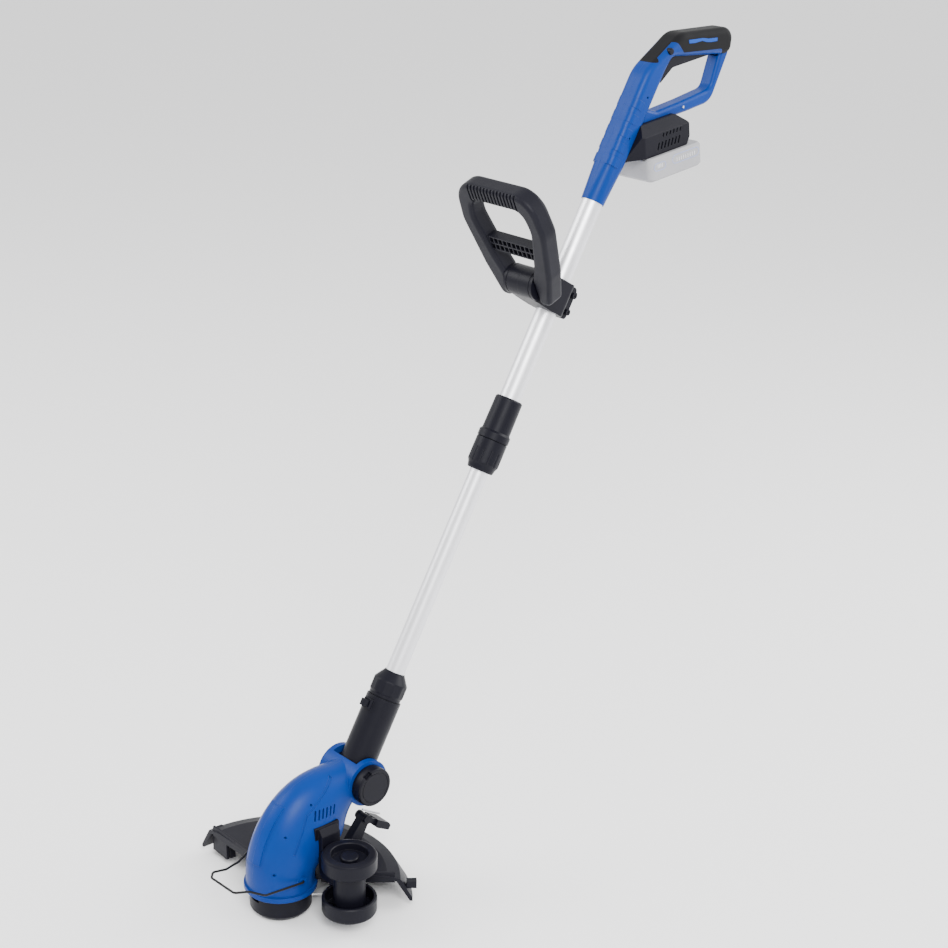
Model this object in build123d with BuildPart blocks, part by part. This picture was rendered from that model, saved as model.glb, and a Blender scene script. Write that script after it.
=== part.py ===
from build123d import *

import os
from math import cos, pi, radians, sin, tan

os.makedirs("parts", exist_ok=True)

# Cordless telescopic grass trimmer and lawn edger, millimetres.
# The origin is on the ground under the line spool, +X runs back to the user, +Y to the
# user's right and +Z up. "Left" and "right" are the user's.

# ------------------------------------------------------------------ driving dimensions
shaft_lean = 29.3  # degrees from vertical, back towards the user
pivot_x = 116.0  # head tilt pivot
pivot_z = 151.0

slip = 0.3  # gap between turning or sliding faces
pin_slip = 0.05  # radial gap of a pin in its hole
wall = 2.5  # plastic shells

# tubes, as distances up the shaft from the tilt pivot
upper_tube_od = 28.0
upper_tube_wall = 1.0
lower_tube_od = 25.0
lower_tube_wall = 1.2
lower_tube_start = 72.0
lower_tube_length = 548.0
coupling_start = 426.0
upper_tube_start = coupling_start + 14.0
handle_foot = 804.0
upper_tube_end = handle_foot + 68.0

# neck that carries the head
neck_od = 46.5
neck_top = 107.0
neck_bore_depth = 47.0
neck_nut_length = 36.0
neck_nut_top_od = 29.5
nut_flat_count = 12
neck_collar_od = 33.0
neck_collar_length = 13.0
barrel_r = 22.0
pivot_bolt_r = 4.0

# telescopic coupling
coupling_nut_length = 43.0
coupling_od = 41.7
coupling_sleeve_od = 38.0
coupling_length = 101.0
coupling_collar_od = 34.0

# rear D handle
lip_r = 15.5
column_front = 15.5
column_back = 17.0
handle_half = 17.5
handle_edge = 9.0
column_start = handle_foot + 74.0
knuckle_start = handle_foot + 181.0
bar_top = 208.0  # above the handle's foot
bar_drop = 30.0
loop_half = 11.5
loop_edge = 5.0
rubber = 1.5
cavity_inset = 4.0

trigger_pin_r = 2.5
pin_reach = 15.5
lead_opening_r = 12.0
lobe_inner = 11.5

# battery and its bay
pack_length = 101.0
pack_width = 74.0
pack_depth = 32.0
pack_tilt = 8.5
rail_width = 46.0
rail_depth = 10.0
bay_half = 30.0
cell_r = 9.0
cell_length = 65.0
cell_count = 5

# front handle
clamp_low = 650.0
clamp_high = 694.0
clamp_half = 21.0
hub_up = 672.0
hub_out = -52.0
hub_r = 20.0
hub_half = 25.5
loop_reach = 133.0
loop_wide = 74.0
loop_thick = 26.0
arm_width = 22.0
grip_ribs = 15

# head
flange_r = 47.0
flange_low = 32.5
flange_thick = 7.5
body_r = 44.5
ear_r = 31.0
ear_thick = 8.0
slot_half = 24.0
tilt_travel = 50.0
motor_r = 21.0
motor_low = 59.0
motor_top = 111.0
shaft_r = 2.5
fan_r = 35.0

# line spool
cap_r = 39.7
cap_top = 31.5
cap_wall = 2.4
reel_r = 33.0
eyelet_angle = -33.0
line_z = 14.0
line_r = 0.8

# edge wheels
wheel_x = 43.0
wheel_y = -87.0
wheel_low = 20.0
wheel_r = 35.0
wheel_thick = 21.5
wheel_height = 83.0
wheel_hub_r = 20.5
axle_r = 4.0

# debris guard
guard_r = 152.0
guard_skirt_r = 169.0
guard_z = 46.0
guard_skirt_z = 10.0
guard_skin = 3.0
guard_start = -41.0
guard_end = 92.0

# plant guard wire
wire_r = 1.5
wire_z = 62.0

# ------------------------------------------------------------------ places on the shaft
pivot = Vector(pivot_x, 0, pivot_z)
along = Vector(sin(radians(shaft_lean)), 0, cos(radians(shaft_lean)))
across = Vector(cos(radians(shaft_lean)), 0, -sin(radians(shaft_lean)))
shaft_axis = Axis(pivot, along)
side_plane = Plane(origin=(0, 0, 0), x_dir=(1, 0, 0), z_dir=(0, -1, 0))
shaft_side = Plane(origin=pivot, x_dir=across, z_dir=(0, -1, 0))


def on_shaft(up, back=0.0, y=0.0):
    """Point a distance up the shaft from the tilt pivot and back from its axis."""
    return pivot + along * up + across * back + Vector(0, y, 0)


def side_point(up, back=0.0):
    """The same point as a pair for sketches on the side plane."""
    point = on_shaft(up, back)
    return (point.X, point.Z)


def shaft_plane(up):
    """Plane square to the shaft: local x is back from the axis, local y is across."""
    return Plane(origin=on_shaft(up), x_dir=across, z_dir=along)


def turned(profile):
    """Solid of revolution about the shaft from (radius, distance up) corners."""
    with BuildPart() as solid:
        with BuildSketch(shaft_side):
            with BuildLine():
                Polyline(*profile, close=True)
            make_face()
        revolve(axis=shaft_axis)
    return solid.part


def upright(profile, x=0.0, y=0.0):
    """Solid of revolution about a vertical axis from (radius, height) corners."""
    with BuildPart() as solid:
        with BuildSketch(Plane(origin=(x, y, 0), x_dir=(1, 0, 0), z_dir=(0, -1, 0))):
            with BuildLine():
                Polyline(*profile, close=True)
            make_face()
        revolve(axis=Axis((x, y, 0), (0, 0, 1)))
    return solid.part


def cross_rod(x, z, radius, y_low, y_high):
    """Round bar lying across the machine."""
    with BuildPart() as solid:
        with BuildSketch(Plane(origin=(x, y_high, z), x_dir=(1, 0, 0), z_dir=(0, -1, 0))):
            Circle(radius)
        extrude(amount=y_high - y_low)
    return solid.part


def side_prism(corners, half, radius=0.0):
    """Side outline extruded evenly to both sides of the middle plane."""
    with BuildPart() as solid:
        with BuildSketch(side_plane):
            with BuildLine():
                FilletPolyline(*corners, radius=radius, close=True)
            make_face()
        extrude(amount=half, both=True)
    return solid.part


def left_half(solid):
    """What lies on the user's left of the middle plane."""
    with BuildPart() as half:
        add(solid)
        split(bisect_by=Plane.XZ, keep=Keep.TOP)
    return half.part


def right_half(solid):
    """What lies on the user's right of the middle plane."""
    with BuildPart() as half:
        add(solid)
        split(bisect_by=Plane.XZ, keep=Keep.BOTTOM)
    return half.part


# ------------------------------------------------------------------ rear handle outline
foot = on_shaft(handle_foot)


def from_foot(dx, dz):
    """Side point measured back and up from where the tube enters the handle."""
    return (foot.X + dx, foot.Z + dz)


bar_under = bar_top - bar_drop
knuckle = side_point(knuckle_start, -column_front)
bar_front = from_foot(136, bar_top)
bar_rear = from_foot(240, bar_top + 2)
bar_rear_low = from_foot(236, bar_under - 4)
column_join_up = handle_foot + 202.0


def handle_core(inset):
    """Column and top bar of the rear handle, shrunk by inset on every side."""
    with BuildPart() as solid:
        with BuildSketch(side_plane):
            with BuildLine():
                FilletPolyline(
                    side_point(column_start, -column_front),
                    knuckle,
                    bar_front,
                    bar_rear,
                    bar_rear_low,
                    from_foot(122, bar_under),
                    side_point(column_join_up - 8, column_back),
                    side_point(column_start, column_back),
                    radius=[0, 55, 30, 16, 12, 14, 14, 0],
                    close=True,
                )
            make_face()
            if inset:
                offset(amount=-inset, mode=Mode.REPLACE)
        extrude(amount=handle_half - inset, both=True)
        if inset < cavity_inset:
            ends = shaft_plane(column_start + inset)
            rims = [
                edge
                for edge in solid.edges()
                if abs(abs(edge.center().Y) - (handle_half - inset)) < 0.01
                and abs(ends.to_local_coords(edge.center()).Z) > 0.5
            ]
            fillet(rims, radius=handle_edge - inset)
    return solid.part


def handle_lip():
    """Round lip on the tube growing into the column's rounded rectangle."""
    middle = (column_back - column_front) / 2
    with BuildPart() as solid:
        with BuildSketch(shaft_plane(handle_foot)):
            RectangleRounded(2 * lip_r, 2 * lip_r, lip_r - 0.05)
        with BuildSketch(shaft_plane(column_start)):
            with Locations((middle, 0)):
                RectangleRounded(column_front + column_back, 2 * handle_half, handle_edge)
        loft()
    return solid.part


def handle_loop():
    """Low bar and rear post that close the handle below and behind the hand."""
    with BuildPart() as solid:
        with BuildSketch(side_plane):
            with BuildLine():
                FilletPolyline(
                    side_point(handle_foot + 106, 4),
                    from_foot(100, 94),
                    from_foot(160, 103),
                    from_foot(207, 112),
                    from_foot(236, 174),
                    from_foot(238, 190),
                    from_foot(222, 190),
                    from_foot(218, 174),
                    from_foot(204, 130),
                    from_foot(150, 118),
                    from_foot(102, 109),
                    side_point(handle_foot + 136, 4),
                    radius=[0, 10, 60, 26, 20, 0, 0, 20, 14, 60, 8, 0],
                    close=True,
                )
            make_face()
        extrude(amount=loop_half, both=True)
        flat = [e for e in solid.edges() if abs(abs(e.center().Y) - loop_half) < 0.01]
        fillet(flat, radius=loop_edge)
    return solid.part


def rubber_region():
    """Side region covered by the soft grip, with a lobe left bare round the button."""
    with BuildPart() as region:
        with BuildSketch(side_plane):
            with BuildLine():
                FilletPolyline(
                    from_foot(40, 173),
                    from_foot(94, 173),
                    from_foot(97, 190),
                    from_foot(108, 196),
                    from_foot(126, 197),
                    from_foot(140, 182.5),
                    from_foot(214, 182.5),
                    from_foot(222, 170.5),
                    from_foot(260, 170.5),
                    from_foot(260, 240),
                    from_foot(40, 240),
                    radius=[0, 3, 8, 8, 8, 4, 4, 3, 0, 0, 0],
                    close=True,
                )
            make_face()
        extrude(amount=handle_half + 10, both=True)
        with BuildSketch(side_plane):
            with BuildLine():
                Polyline(
                    from_foot(40, 173),
                    from_foot(94, 173),
                    from_foot(118, 186),
                    from_foot(140, 188),
                    from_foot(150, 240),
                    from_foot(40, 240),
                    close=True,
                )
            make_face()
        extrude(amount=lobe_inner, both=True)
    return region.part


core_outer = handle_core(0)
core_under_rubber = handle_core(rubber)
core_cavity = handle_core(cavity_inset)
lip_outer = handle_lip()
loop_outer = handle_loop()
black_region = rubber_region()

with BuildPart() as handle_outer:
    add(core_outer)
    add(lip_outer)
    add(loop_outer)

# ------------------------------------------------------------------ trigger and button
trigger_pin_x, trigger_pin_z = from_foot(212, 184)
trigger_half = 7.0
button_x, button_z = from_foot(114.5, 186)
button_r = 4.3
trigger_swing = 5.0

with BuildPart() as trigger:
    with BuildSketch(side_plane):
        with BuildLine():
            FilletPolyline(
                from_foot(212, 176),
                from_foot(131, 163),
                from_foot(109, 144.5),
                from_foot(102, 148),
                from_foot(121, 172),
                from_foot(130, 183),
                from_foot(206, 189),
                radius=[4, 8, 2, 2, 8, 4, 5],
                close=True,
            )
        make_face()
        with Locations((trigger_pin_x, trigger_pin_z)):
            Circle(6.5)
            Circle(2.5 + pin_slip, mode=Mode.SUBTRACT)
    extrude(amount=trigger_half, both=True)
trigger.part.label = "trigger"
export_step(trigger.part, "parts/trigger.step")


def trigger_slot():
    """Opening in the handle that the trigger swings in."""
    return side_prism(
        [
            from_foot(222, 172),
            from_foot(130, 158),
            from_foot(112, 140),
            from_foot(96, 146),
            from_foot(108, 178),
            from_foot(128, 196),
            from_foot(222, 194),
        ],
        trigger_half + 0.8,
        radius=[0, 2, 0, 6, 8, 4, 4],
    )


with BuildPart() as trigger_pin:
    add(cross_rod(trigger_pin_x, trigger_pin_z, trigger_pin_r, -pin_reach, pin_reach))
trigger_pin.part.label = "trigger_pin"
export_step(trigger_pin.part, "parts/trigger_pin.step")

with BuildPart() as trigger_spring:
    coil = 6.0
    for turn in range(3):
        with BuildSketch(
            Plane(
                origin=(trigger_pin_x, 8.7 + 1.2 * turn, trigger_pin_z),
                x_dir=(1, 0, 0),
                z_dir=(0, -1, 0),
            )
        ):
            Circle(coil - 1.2)
            Circle(coil - 2.6, mode=Mode.SUBTRACT)
        extrude(amount=0.9)
    with BuildSketch(Plane(origin=(trigger_pin_x - 3.7, 7.9, trigger_pin_z), z_dir=(0, 1, 0))):
        Rectangle(1.2, 1.6)
    extrude(amount=3.2)
trigger_spring.part.label = "trigger_spring"
export_step(trigger_spring.part, "parts/trigger_spring.step")

button_proud = 1.8
with BuildPart() as lock_off_button:
    add(cross_rod(button_x, button_z, button_r, -handle_half - button_proud, 4))
    fillet(lock_off_button.edges().group_by(Axis.Y)[0], radius=1.0)
lock_off_button.part.label = "lock_off_button"
export_step(lock_off_button.part, "parts/lock_off_button.step")

# ------------------------------------------------------------------ rear handle shells
screw_places = [
    side_point(handle_foot + 92, 0),
    side_point(handle_foot + 150, 2),
    from_foot(196, 199.5),
    from_foot(230, 198),
    from_foot(150, 110.5),
]
screw_r = 1.6
boss_r = 4.0

with BuildPart() as handle_bosses:
    with BuildSketch(side_plane):
        with Locations(*screw_places):
            Circle(boss_r)
    extrude(amount=handle_half - 2, both=True)

pad_pitch = 20.0
pad_length = 12.0
pad_count = 5
with BuildPart() as column_pads:
    for pad in range(pad_count):
        with BuildSketch(shaft_plane(handle_foot + 50 + pad * pad_pitch)):
            with Locations((0.5, 0)):
                RectangleRounded(
                    column_front * 2 + 1.2,
                    2 * handle_half + 1.2,
                    handle_edge,
                )
            with Locations((column_front + 1, 0)):
                Rectangle(
                    2 * column_front + 1, 3 * handle_half, mode=Mode.SUBTRACT
                )
        extrude(amount=pad_length)

with BuildPart() as bare_handle:
    add(handle_outer.part)
    add(column_pads.part)
    add(black_region & core_outer, mode=Mode.SUBTRACT)
    add(core_under_rubber & black_region)
    add(core_cavity, mode=Mode.SUBTRACT)
    add(handle_bosses.part & handle_outer.part & core_under_rubber)
    add(trigger_slot(), mode=Mode.SUBTRACT)
    with BuildSketch(shaft_plane(handle_foot - 1)):
        Circle(upper_tube_od / 2)
    extrude(amount=upper_tube_end - handle_foot + 1, mode=Mode.SUBTRACT)
    with BuildSketch(side_plane):
        with Locations((button_x, button_z)):
            Circle(button_r + slip)
        with Locations(*screw_places):
            Circle(screw_r)
    extrude(amount=handle_half + 4, both=True, mode=Mode.SUBTRACT)
    with BuildSketch(side_plane):
        with Locations((trigger_pin_x, trigger_pin_z)):
            Circle(trigger_pin_r)
    extrude(amount=pin_reach, both=True, mode=Mode.SUBTRACT)
    with BuildSketch(shaft_plane(upper_tube_end - 2)):
        Circle(lead_opening_r)
    extrude(amount=14, mode=Mode.SUBTRACT)

with BuildPart() as rear_handle_left_shell:
    add(left_half(bare_handle.part))
rear_handle_left_shell.part.label = "rear_handle_left_shell"
export_step(rear_handle_left_shell.part, "parts/rear_handle_left_shell.step")

with BuildPart() as rear_handle_right_shell:
    add(right_half(bare_handle.part))
rear_handle_right_shell.part.label = "rear_handle_right_shell"
export_step(rear_handle_right_shell.part, "parts/rear_handle_right_shell.step")

with BuildPart() as grip_overmould:
    add(core_outer & black_region)
    add(core_under_rubber, mode=Mode.SUBTRACT)
    add(trigger_slot(), mode=Mode.SUBTRACT)
    with BuildSketch(side_plane):
        with Locations((button_x, button_z)):
            Circle(button_r + slip)
    extrude(amount=handle_half + 4, both=True, mode=Mode.SUBTRACT)
grip_overmould.part.label = "grip_overmould"
export_step(grip_overmould.part, "parts/grip_overmould.step")

with BuildPart() as handle_screws:
    with BuildSketch(Plane(origin=(0, -handle_half + 4, 0), x_dir=(1, 0, 0), z_dir=(0, -1, 0))):
        with Locations(*screw_places):
            Circle(screw_r - 0.02)
    extrude(amount=-22)
    with BuildSketch(Plane(origin=(0, handle_half - 6, 0), x_dir=(1, 0, 0), z_dir=(0, -1, 0))):
        with Locations(*screw_places):
            Circle(screw_r - 0.02)
    extrude(amount=-3)
handle_screws.part.label = "handle_screws"
export_step(handle_screws.part, "parts/handle_screws.step")

# ------------------------------------------------------------------ battery and its bay
pack_corner = from_foot(70.5, 21)
pack_along = (cos(radians(pack_tilt)), 0, sin(radians(pack_tilt)))
pack_up = (-sin(radians(pack_tilt)), 0, cos(radians(pack_tilt)))
pack_origin = (pack_corner[0], 0, pack_corner[1])
pack_rise = Axis(pack_origin, pack_up)
pack_run = Axis(pack_origin, pack_along)
pack_side = Plane(origin=pack_origin, x_dir=pack_along, z_dir=(0, -1, 0))
pack_flat = Plane(origin=pack_origin, x_dir=pack_along, z_dir=pack_up)
case_split = 16.0
rail_start, rail_end = 3.0, 88.0
rail_gap = 0.6
blade_half = 0.6
blade_reach = 11.0
blade_pitch = 12.0


def pack_block(x_low, x_high, half, low, high, radius=0.0):
    """Block in the battery's own tilted frame."""
    with BuildPart() as block:
        with BuildSketch(pack_flat.offset(low)):
            with Locations(((x_low + x_high) / 2, 0)):
                if radius:
                    RectangleRounded(x_high - x_low, 2 * half, radius)
                else:
                    Rectangle(x_high - x_low, 2 * half)
        extrude(amount=high - low)
    return block.part


with BuildPart() as battery_case_lower:
    add(pack_block(0, pack_length, pack_width / 2, 0, case_split, 9))
    chamfer(battery_case_lower.faces().sort_by(pack_rise)[0].edges(), length=4)
    add(
        pack_block(wall, pack_length - wall, pack_width / 2 - wall, wall, case_split, 3),
        mode=Mode.SUBTRACT,
    )
    cradle_x = wall + cell_r + 0.3
    with BuildSketch(pack_side):
        for cell in range(cell_count):
            with Locations((cradle_x + cell * (2 * cell_r + 1.2), wall + cell_r + 0.2)):
                Circle(cell_r + 0.1)
    extrude(amount=cell_length / 2 + 0.3, both=True, mode=Mode.SUBTRACT)
battery_case_lower.part.label = "battery_case_lower"
export_step(battery_case_lower.part, "parts/battery_case_lower.step")

button_half = 11.0
button_low, button_high = 20.0, 28.0
with BuildPart() as battery_case_upper:
    add(pack_block(0, pack_length, pack_width / 2, case_split, pack_depth, 9))
    chamfer(battery_case_upper.faces().sort_by(pack_rise)[-1].edges(), length=3)
    add(
        pack_block(
            wall,
            pack_length - wall,
            pack_width / 2 - wall,
            case_split,
            pack_depth - wall,
            3,
        ),
        mode=Mode.SUBTRACT,
    )
    add(pack_block(rail_start, rail_end, rail_width / 2, pack_depth, pack_depth + rail_depth))
    for place in range(-1, 2):
        with BuildSketch(pack_flat.offset(pack_depth + 1.5)):
            with Locations((rail_start + 7, place * blade_pitch)):
                Rectangle(16, 2.4)
        extrude(amount=rail_depth, mode=Mode.SUBTRACT)
    add(
        pack_block(
            pack_length - wall - 2,
            pack_length + 2,
            button_half + slip,
            button_low - slip,
            button_high + slip,
        ),
        mode=Mode.SUBTRACT,
    )
battery_case_upper.part.label = "battery_case_upper"
export_step(battery_case_upper.part, "parts/battery_case_upper.step")

with BuildPart() as battery_cells:
    with BuildSketch(pack_side):
        for cell in range(cell_count):
            with Locations((cradle_x + cell * (2 * cell_r + 1.2), wall + cell_r + 0.2)):
                Circle(cell_r)
    extrude(amount=cell_length / 2, both=True)
battery_cells.part.label = "battery_cells"
export_step(battery_cells.part, "parts/battery_cells.step")

with BuildPart() as battery_release_button:
    add(
        pack_block(
            pack_length - wall + 0.3, pack_length + 2.2, button_half, button_low, button_high
        )
    )
    fillet(
        battery_release_button.faces().sort_by(pack_run)[-1].edges(), radius=1.2
    )
battery_release_button.part.label = "battery_release_button"
export_step(battery_release_button.part, "parts/battery_release_button.step")

bay_low = pack_depth + 0.5
bay_high = 72.0
bay_rear = 84.0
vent_pitch = 6.5


def bay_form():
    """Outside of the battery bay before the handle is taken out of it."""
    with BuildPart() as form:
        with BuildSketch(pack_side):
            with BuildLine():
                FilletPolyline(
                    (-30, bay_low),
                    (bay_rear - 6, bay_low),
                    (bay_rear, bay_low + 10),
                    (bay_rear, bay_high - 10),
                    (bay_rear - 14, bay_high + 2),
                    (-30, bay_high + 2),
                    radius=[0, 3, 6, 5, 5, 0],
                    close=True,
                )
            make_face()
        extrude(amount=bay_half + 4, both=True)
    with BuildPart() as end_view:
        with BuildSketch(Plane(origin=pack_origin, x_dir=(0, 1, 0), z_dir=pack_along)):
            with BuildLine():
                FilletPolyline(
                    (-bay_half - 2, bay_low - 5),
                    (-bay_half - 2, bay_high - 14),
                    (-bay_half + 14, bay_high + 4),
                    (bay_half - 14, bay_high + 4),
                    (bay_half + 2, bay_high - 14),
                    (bay_half + 2, bay_low - 5),
                    radius=[0, 8, 6, 6, 8, 0],
                    close=True,
                )
            make_face()
        extrude(amount=bay_rear + 50, both=True)
    with BuildPart() as plan:
        with BuildSketch(pack_flat.offset(bay_low - 5)):
            with BuildLine():
                FilletPolyline(
                    (-40, 17),
                    (-22, 17),
                    (-2, bay_half),
                    (bay_rear + 5, bay_half),
                    (bay_rear + 5, -bay_half),
                    (-2, -bay_half),
                    (-22, -17),
                    (-40, -17),
                    radius=[0, 6, 8, 0, 0, 8, 6, 0],
                    close=True,
                )
            make_face()
        extrude(amount=60)
    with BuildPart() as bay:
        add(form.part)
        add(plan.part, mode=Mode.INTERSECT)
        add(end_view.part, mode=Mode.INTERSECT)
    return bay.part


with BuildPart() as terminal_block:
    add(pack_block(-10.5, -1.5, rail_width / 2, bay_low, pack_depth + rail_depth))
    for place in range(-1, 2):
        with BuildSketch(pack_flat.offset(pack_depth + 3)):
            with Locations((-3.5, place * blade_pitch)):
                Rectangle(8, 2 * blade_half)
        extrude(amount=5, mode=Mode.SUBTRACT)
with BuildPart() as battery_bay:
    add(bay_form())
    add(handle_outer.part, mode=Mode.SUBTRACT)
    add(column_pads.part, mode=Mode.SUBTRACT)
    add(
        side_prism(
            [
                side_point(handle_foot - 60, 10),
                side_point(handle_foot + 200, 10),
                side_point(handle_foot + 200, -60),
                side_point(handle_foot - 60, -60),
            ],
            60,
        ),
        mode=Mode.SUBTRACT,
    )
    add(
        pack_block(
            -11,
            bay_rear + 2,
            rail_width / 2 + rail_gap,
            bay_low - 1,
            pack_depth + rail_depth + rail_gap,
        ),
        mode=Mode.SUBTRACT,
    )
    add(
        pack_block(6, bay_rear - 12, bay_half - 6, pack_depth + rail_depth + 3, bay_high - 9, 4),
        mode=Mode.SUBTRACT,
    )
    with BuildSketch(pack_side):
        for vent in range(7):
            with Locations((24 + vent * vent_pitch, bay_low + 11)):
                SlotCenterToCenter(8, 2.6, rotation=68)
        for vent in range(6):
            with Locations((34 + vent * vent_pitch, bay_low + 24)):
                SlotCenterToCenter(3.5, 2.4, rotation=68)
    extrude(amount=bay_half + 2, both=True, mode=Mode.SUBTRACT)
    add(terminal_block.part)
battery_bay.part.label = "battery_bay"
export_step(battery_bay.part, "parts/battery_bay.step")


with BuildPart() as battery_terminals:
    for place in range(-1, 2):
        with BuildSketch(pack_flat.offset(pack_depth + 3)):
            with Locations((-7.5 + (blade_reach + 7.5) / 2, place * blade_pitch)):
                Rectangle(blade_reach + 7.5, 2 * blade_half)
        extrude(amount=5)
battery_terminals.part.label = "battery_terminals"
export_step(battery_terminals.part, "parts/battery_terminals.step")

# ------------------------------------------------------------------ switch and leads
switch_x, switch_z = from_foot(171, 198.3)
lead_r = 1.8
coil_r = 9.0
coil_start = lower_tube_start + lower_tube_length + 20
coil_end = upper_tube_end - 26

with BuildPart() as switch_body:
    with BuildSketch(Plane(origin=(switch_x, 0, switch_z), x_dir=(1, 0, 0), z_dir=(0, -1, 0))):
        Rectangle(32, 8.6)
    extrude(amount=12.4, both=True)
    with BuildSketch(Plane(origin=(switch_x - 6, 0, switch_z - 4.3), z_dir=(0, 0, -1))):
        Circle(2)
    extrude(amount=2.4)
switch_body.part.label = "switch_body"
export_step(switch_body.part, "parts/switch_body.step")

lead_side = 10.2
with BuildPart() as handle_lead:
    with BuildLine() as lead_path:
        FilletPolyline(
            (switch_x - 16.4, lead_side, switch_z),
            (switch_x - 44, lead_side, switch_z - 9),
            on_shaft(handle_foot + 182, -5.5, lead_side),
            on_shaft(handle_foot + 110, -7.5, lead_side),
            on_shaft(coil_end + 14, -5.5, 3),
            on_shaft(coil_end, -5.5, 3),
            radius=[20, 16, 60, 16],
        )
    with BuildSketch(Plane(origin=lead_path.line @ 0, z_dir=lead_path.line % 0)):
        Circle(lead_r)
    sweep()
handle_lead.part.label = "handle_lead"
export_step(handle_lead.part, "parts/handle_lead.step")

with BuildPart() as coiled_lead:
    with BuildSketch(shaft_plane(coil_start)):
        Circle(coil_r)
    extrude(amount=coil_end - coil_start)
coiled_lead.part.label = "coiled_lead"
export_step(coiled_lead.part, "parts/coiled_lead.step")

with BuildPart() as tube_lead:
    with BuildSketch(shaft_plane(lower_tube_start - 10)):
        Circle(lead_r)
    extrude(amount=coil_start - lower_tube_start + 10)
tube_lead.part.label = "tube_lead"
export_step(tube_lead.part, "parts/tube_lead.step")

# ------------------------------------------------------------------ tubes and coupling
with BuildPart() as upper_tube:
    with BuildSketch(shaft_plane(upper_tube_start)):
        Circle(upper_tube_od / 2)
        Circle(upper_tube_od / 2 - upper_tube_wall, mode=Mode.SUBTRACT)
    extrude(amount=upper_tube_end - upper_tube_start)
upper_tube.part.label = "upper_tube"
export_step(upper_tube.part, "parts/upper_tube.step")

with BuildPart() as lower_tube:
    with BuildSketch(shaft_plane(lower_tube_start)):
        Circle(lower_tube_od / 2)
        Circle(lower_tube_od / 2 - lower_tube_wall, mode=Mode.SUBTRACT)
    extrude(amount=lower_tube_length)
lower_tube.part.label = "lower_tube"
export_step(lower_tube.part, "parts/lower_tube.step")

lower_tube_end = lower_tube_start + lower_tube_length
bush_bore = coil_r + 0.8
with BuildPart() as tube_guide_bush:
    add(
        turned(
            [
                (bush_bore, lower_tube_end - 14),
                (lower_tube_od / 2 - lower_tube_wall, lower_tube_end - 14),
                (lower_tube_od / 2 - lower_tube_wall, lower_tube_end),
                (upper_tube_od / 2 - upper_tube_wall - slip, lower_tube_end),
                (upper_tube_od / 2 - upper_tube_wall - slip, lower_tube_end + 10),
                (bush_bore, lower_tube_end + 10),
            ]
        )
    )
tube_guide_bush.part.label = "tube_guide_bush"
export_step(tube_guide_bush.part, "parts/tube_guide_bush.step")

coupling_seam = coupling_start + coupling_nut_length
tube_gap = lower_tube_od / 2 + 0.4
with BuildPart() as telescope_sleeve:
    add(
        turned(
            [
                (upper_tube_od / 2, upper_tube_start),
                (coupling_collar_od / 2, upper_tube_start),
                (coupling_collar_od / 2, coupling_seam + slip),
                (coupling_od / 2 + 0.4, coupling_seam + slip),
                (coupling_od / 2 + 0.4, coupling_seam + 9),
                (coupling_sleeve_od / 2, coupling_seam + 12),
                (coupling_sleeve_od / 2 - 0.6, coupling_start + coupling_length - 2),
                (coupling_sleeve_od / 2 - 2.4, coupling_start + coupling_length),
                (upper_tube_od / 2, coupling_start + coupling_length),
            ]
        )
    )
telescope_sleeve.part.label = "telescope_sleeve"
export_step(telescope_sleeve.part, "parts/telescope_sleeve.step")

collet_low = coupling_start + 5
with BuildPart() as telescope_collet:
    add(
        turned(
            [
                (tube_gap, collet_low),
                (coupling_collar_od / 2 - 2.4, collet_low),
                (coupling_collar_od / 2 - 0.4, upper_tube_start - 0.2),
                (tube_gap, upper_tube_start - 0.2),
            ]
        )
    )
    with BuildSketch(shaft_plane(collet_low - 1)):
        with PolarLocations(coupling_collar_od / 2, 6):
            Rectangle(coupling_collar_od, 1.6)
        Circle(tube_gap - 1, mode=Mode.SUBTRACT)
    extrude(amount=7, mode=Mode.SUBTRACT)
telescope_collet.part.label = "telescope_collet"
export_step(telescope_collet.part, "parts/telescope_collet.step")

nut_bore = coupling_collar_od / 2 + 0.5
flute_count = 12
with BuildPart() as telescope_nut:
    add(
        turned(
            [
                (tube_gap + 0.2, coupling_start),
                (coupling_collar_od / 2 - 0.6, coupling_start),
                (coupling_collar_od / 2 + 0.6, coupling_start + 1.5),
                (coupling_collar_od / 2 + 1.8, coupling_start + 7),
                (coupling_od / 2, coupling_start + 11),
                (coupling_od / 2, coupling_seam - 1),
                (coupling_od / 2 - 1, coupling_seam),
                (nut_bore, coupling_seam),
                (nut_bore, upper_tube_start - 2),
                (coupling_collar_od / 2 - 1.8, collet_low - 1),
                (tube_gap + 0.2, collet_low - 1),
            ]
        )
    )
    with BuildSketch(shaft_plane(coupling_start + 9)):
        with PolarLocations(coupling_od / 2 + 1.2, flute_count):
            Circle(2.2)
    extrude(amount=20, mode=Mode.SUBTRACT)
telescope_nut.part.label = "telescope_nut"
export_step(telescope_nut.part, "parts/telescope_nut.step")

# ------------------------------------------------------------------ front handle
hub_centre = on_shaft(hub_up, hub_out)
reach_tilt = shaft_lean - 54.2
reach = Vector(sin(radians(reach_tilt)), 0, cos(radians(reach_tilt)))
loop_plane = Plane(
    origin=hub_centre, x_dir=(0, 1, 0), z_dir=Vector(0, 1, 0).cross(reach)
)
clamp_back = 28.0
clamp_ear_half = 10.0
clamp_screw_r = 2.0
clamp_screw_places = [(23.0, clamp_low + 10), (23.0, clamp_high - 11)]
aux_bolt_half = 40.0


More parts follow.
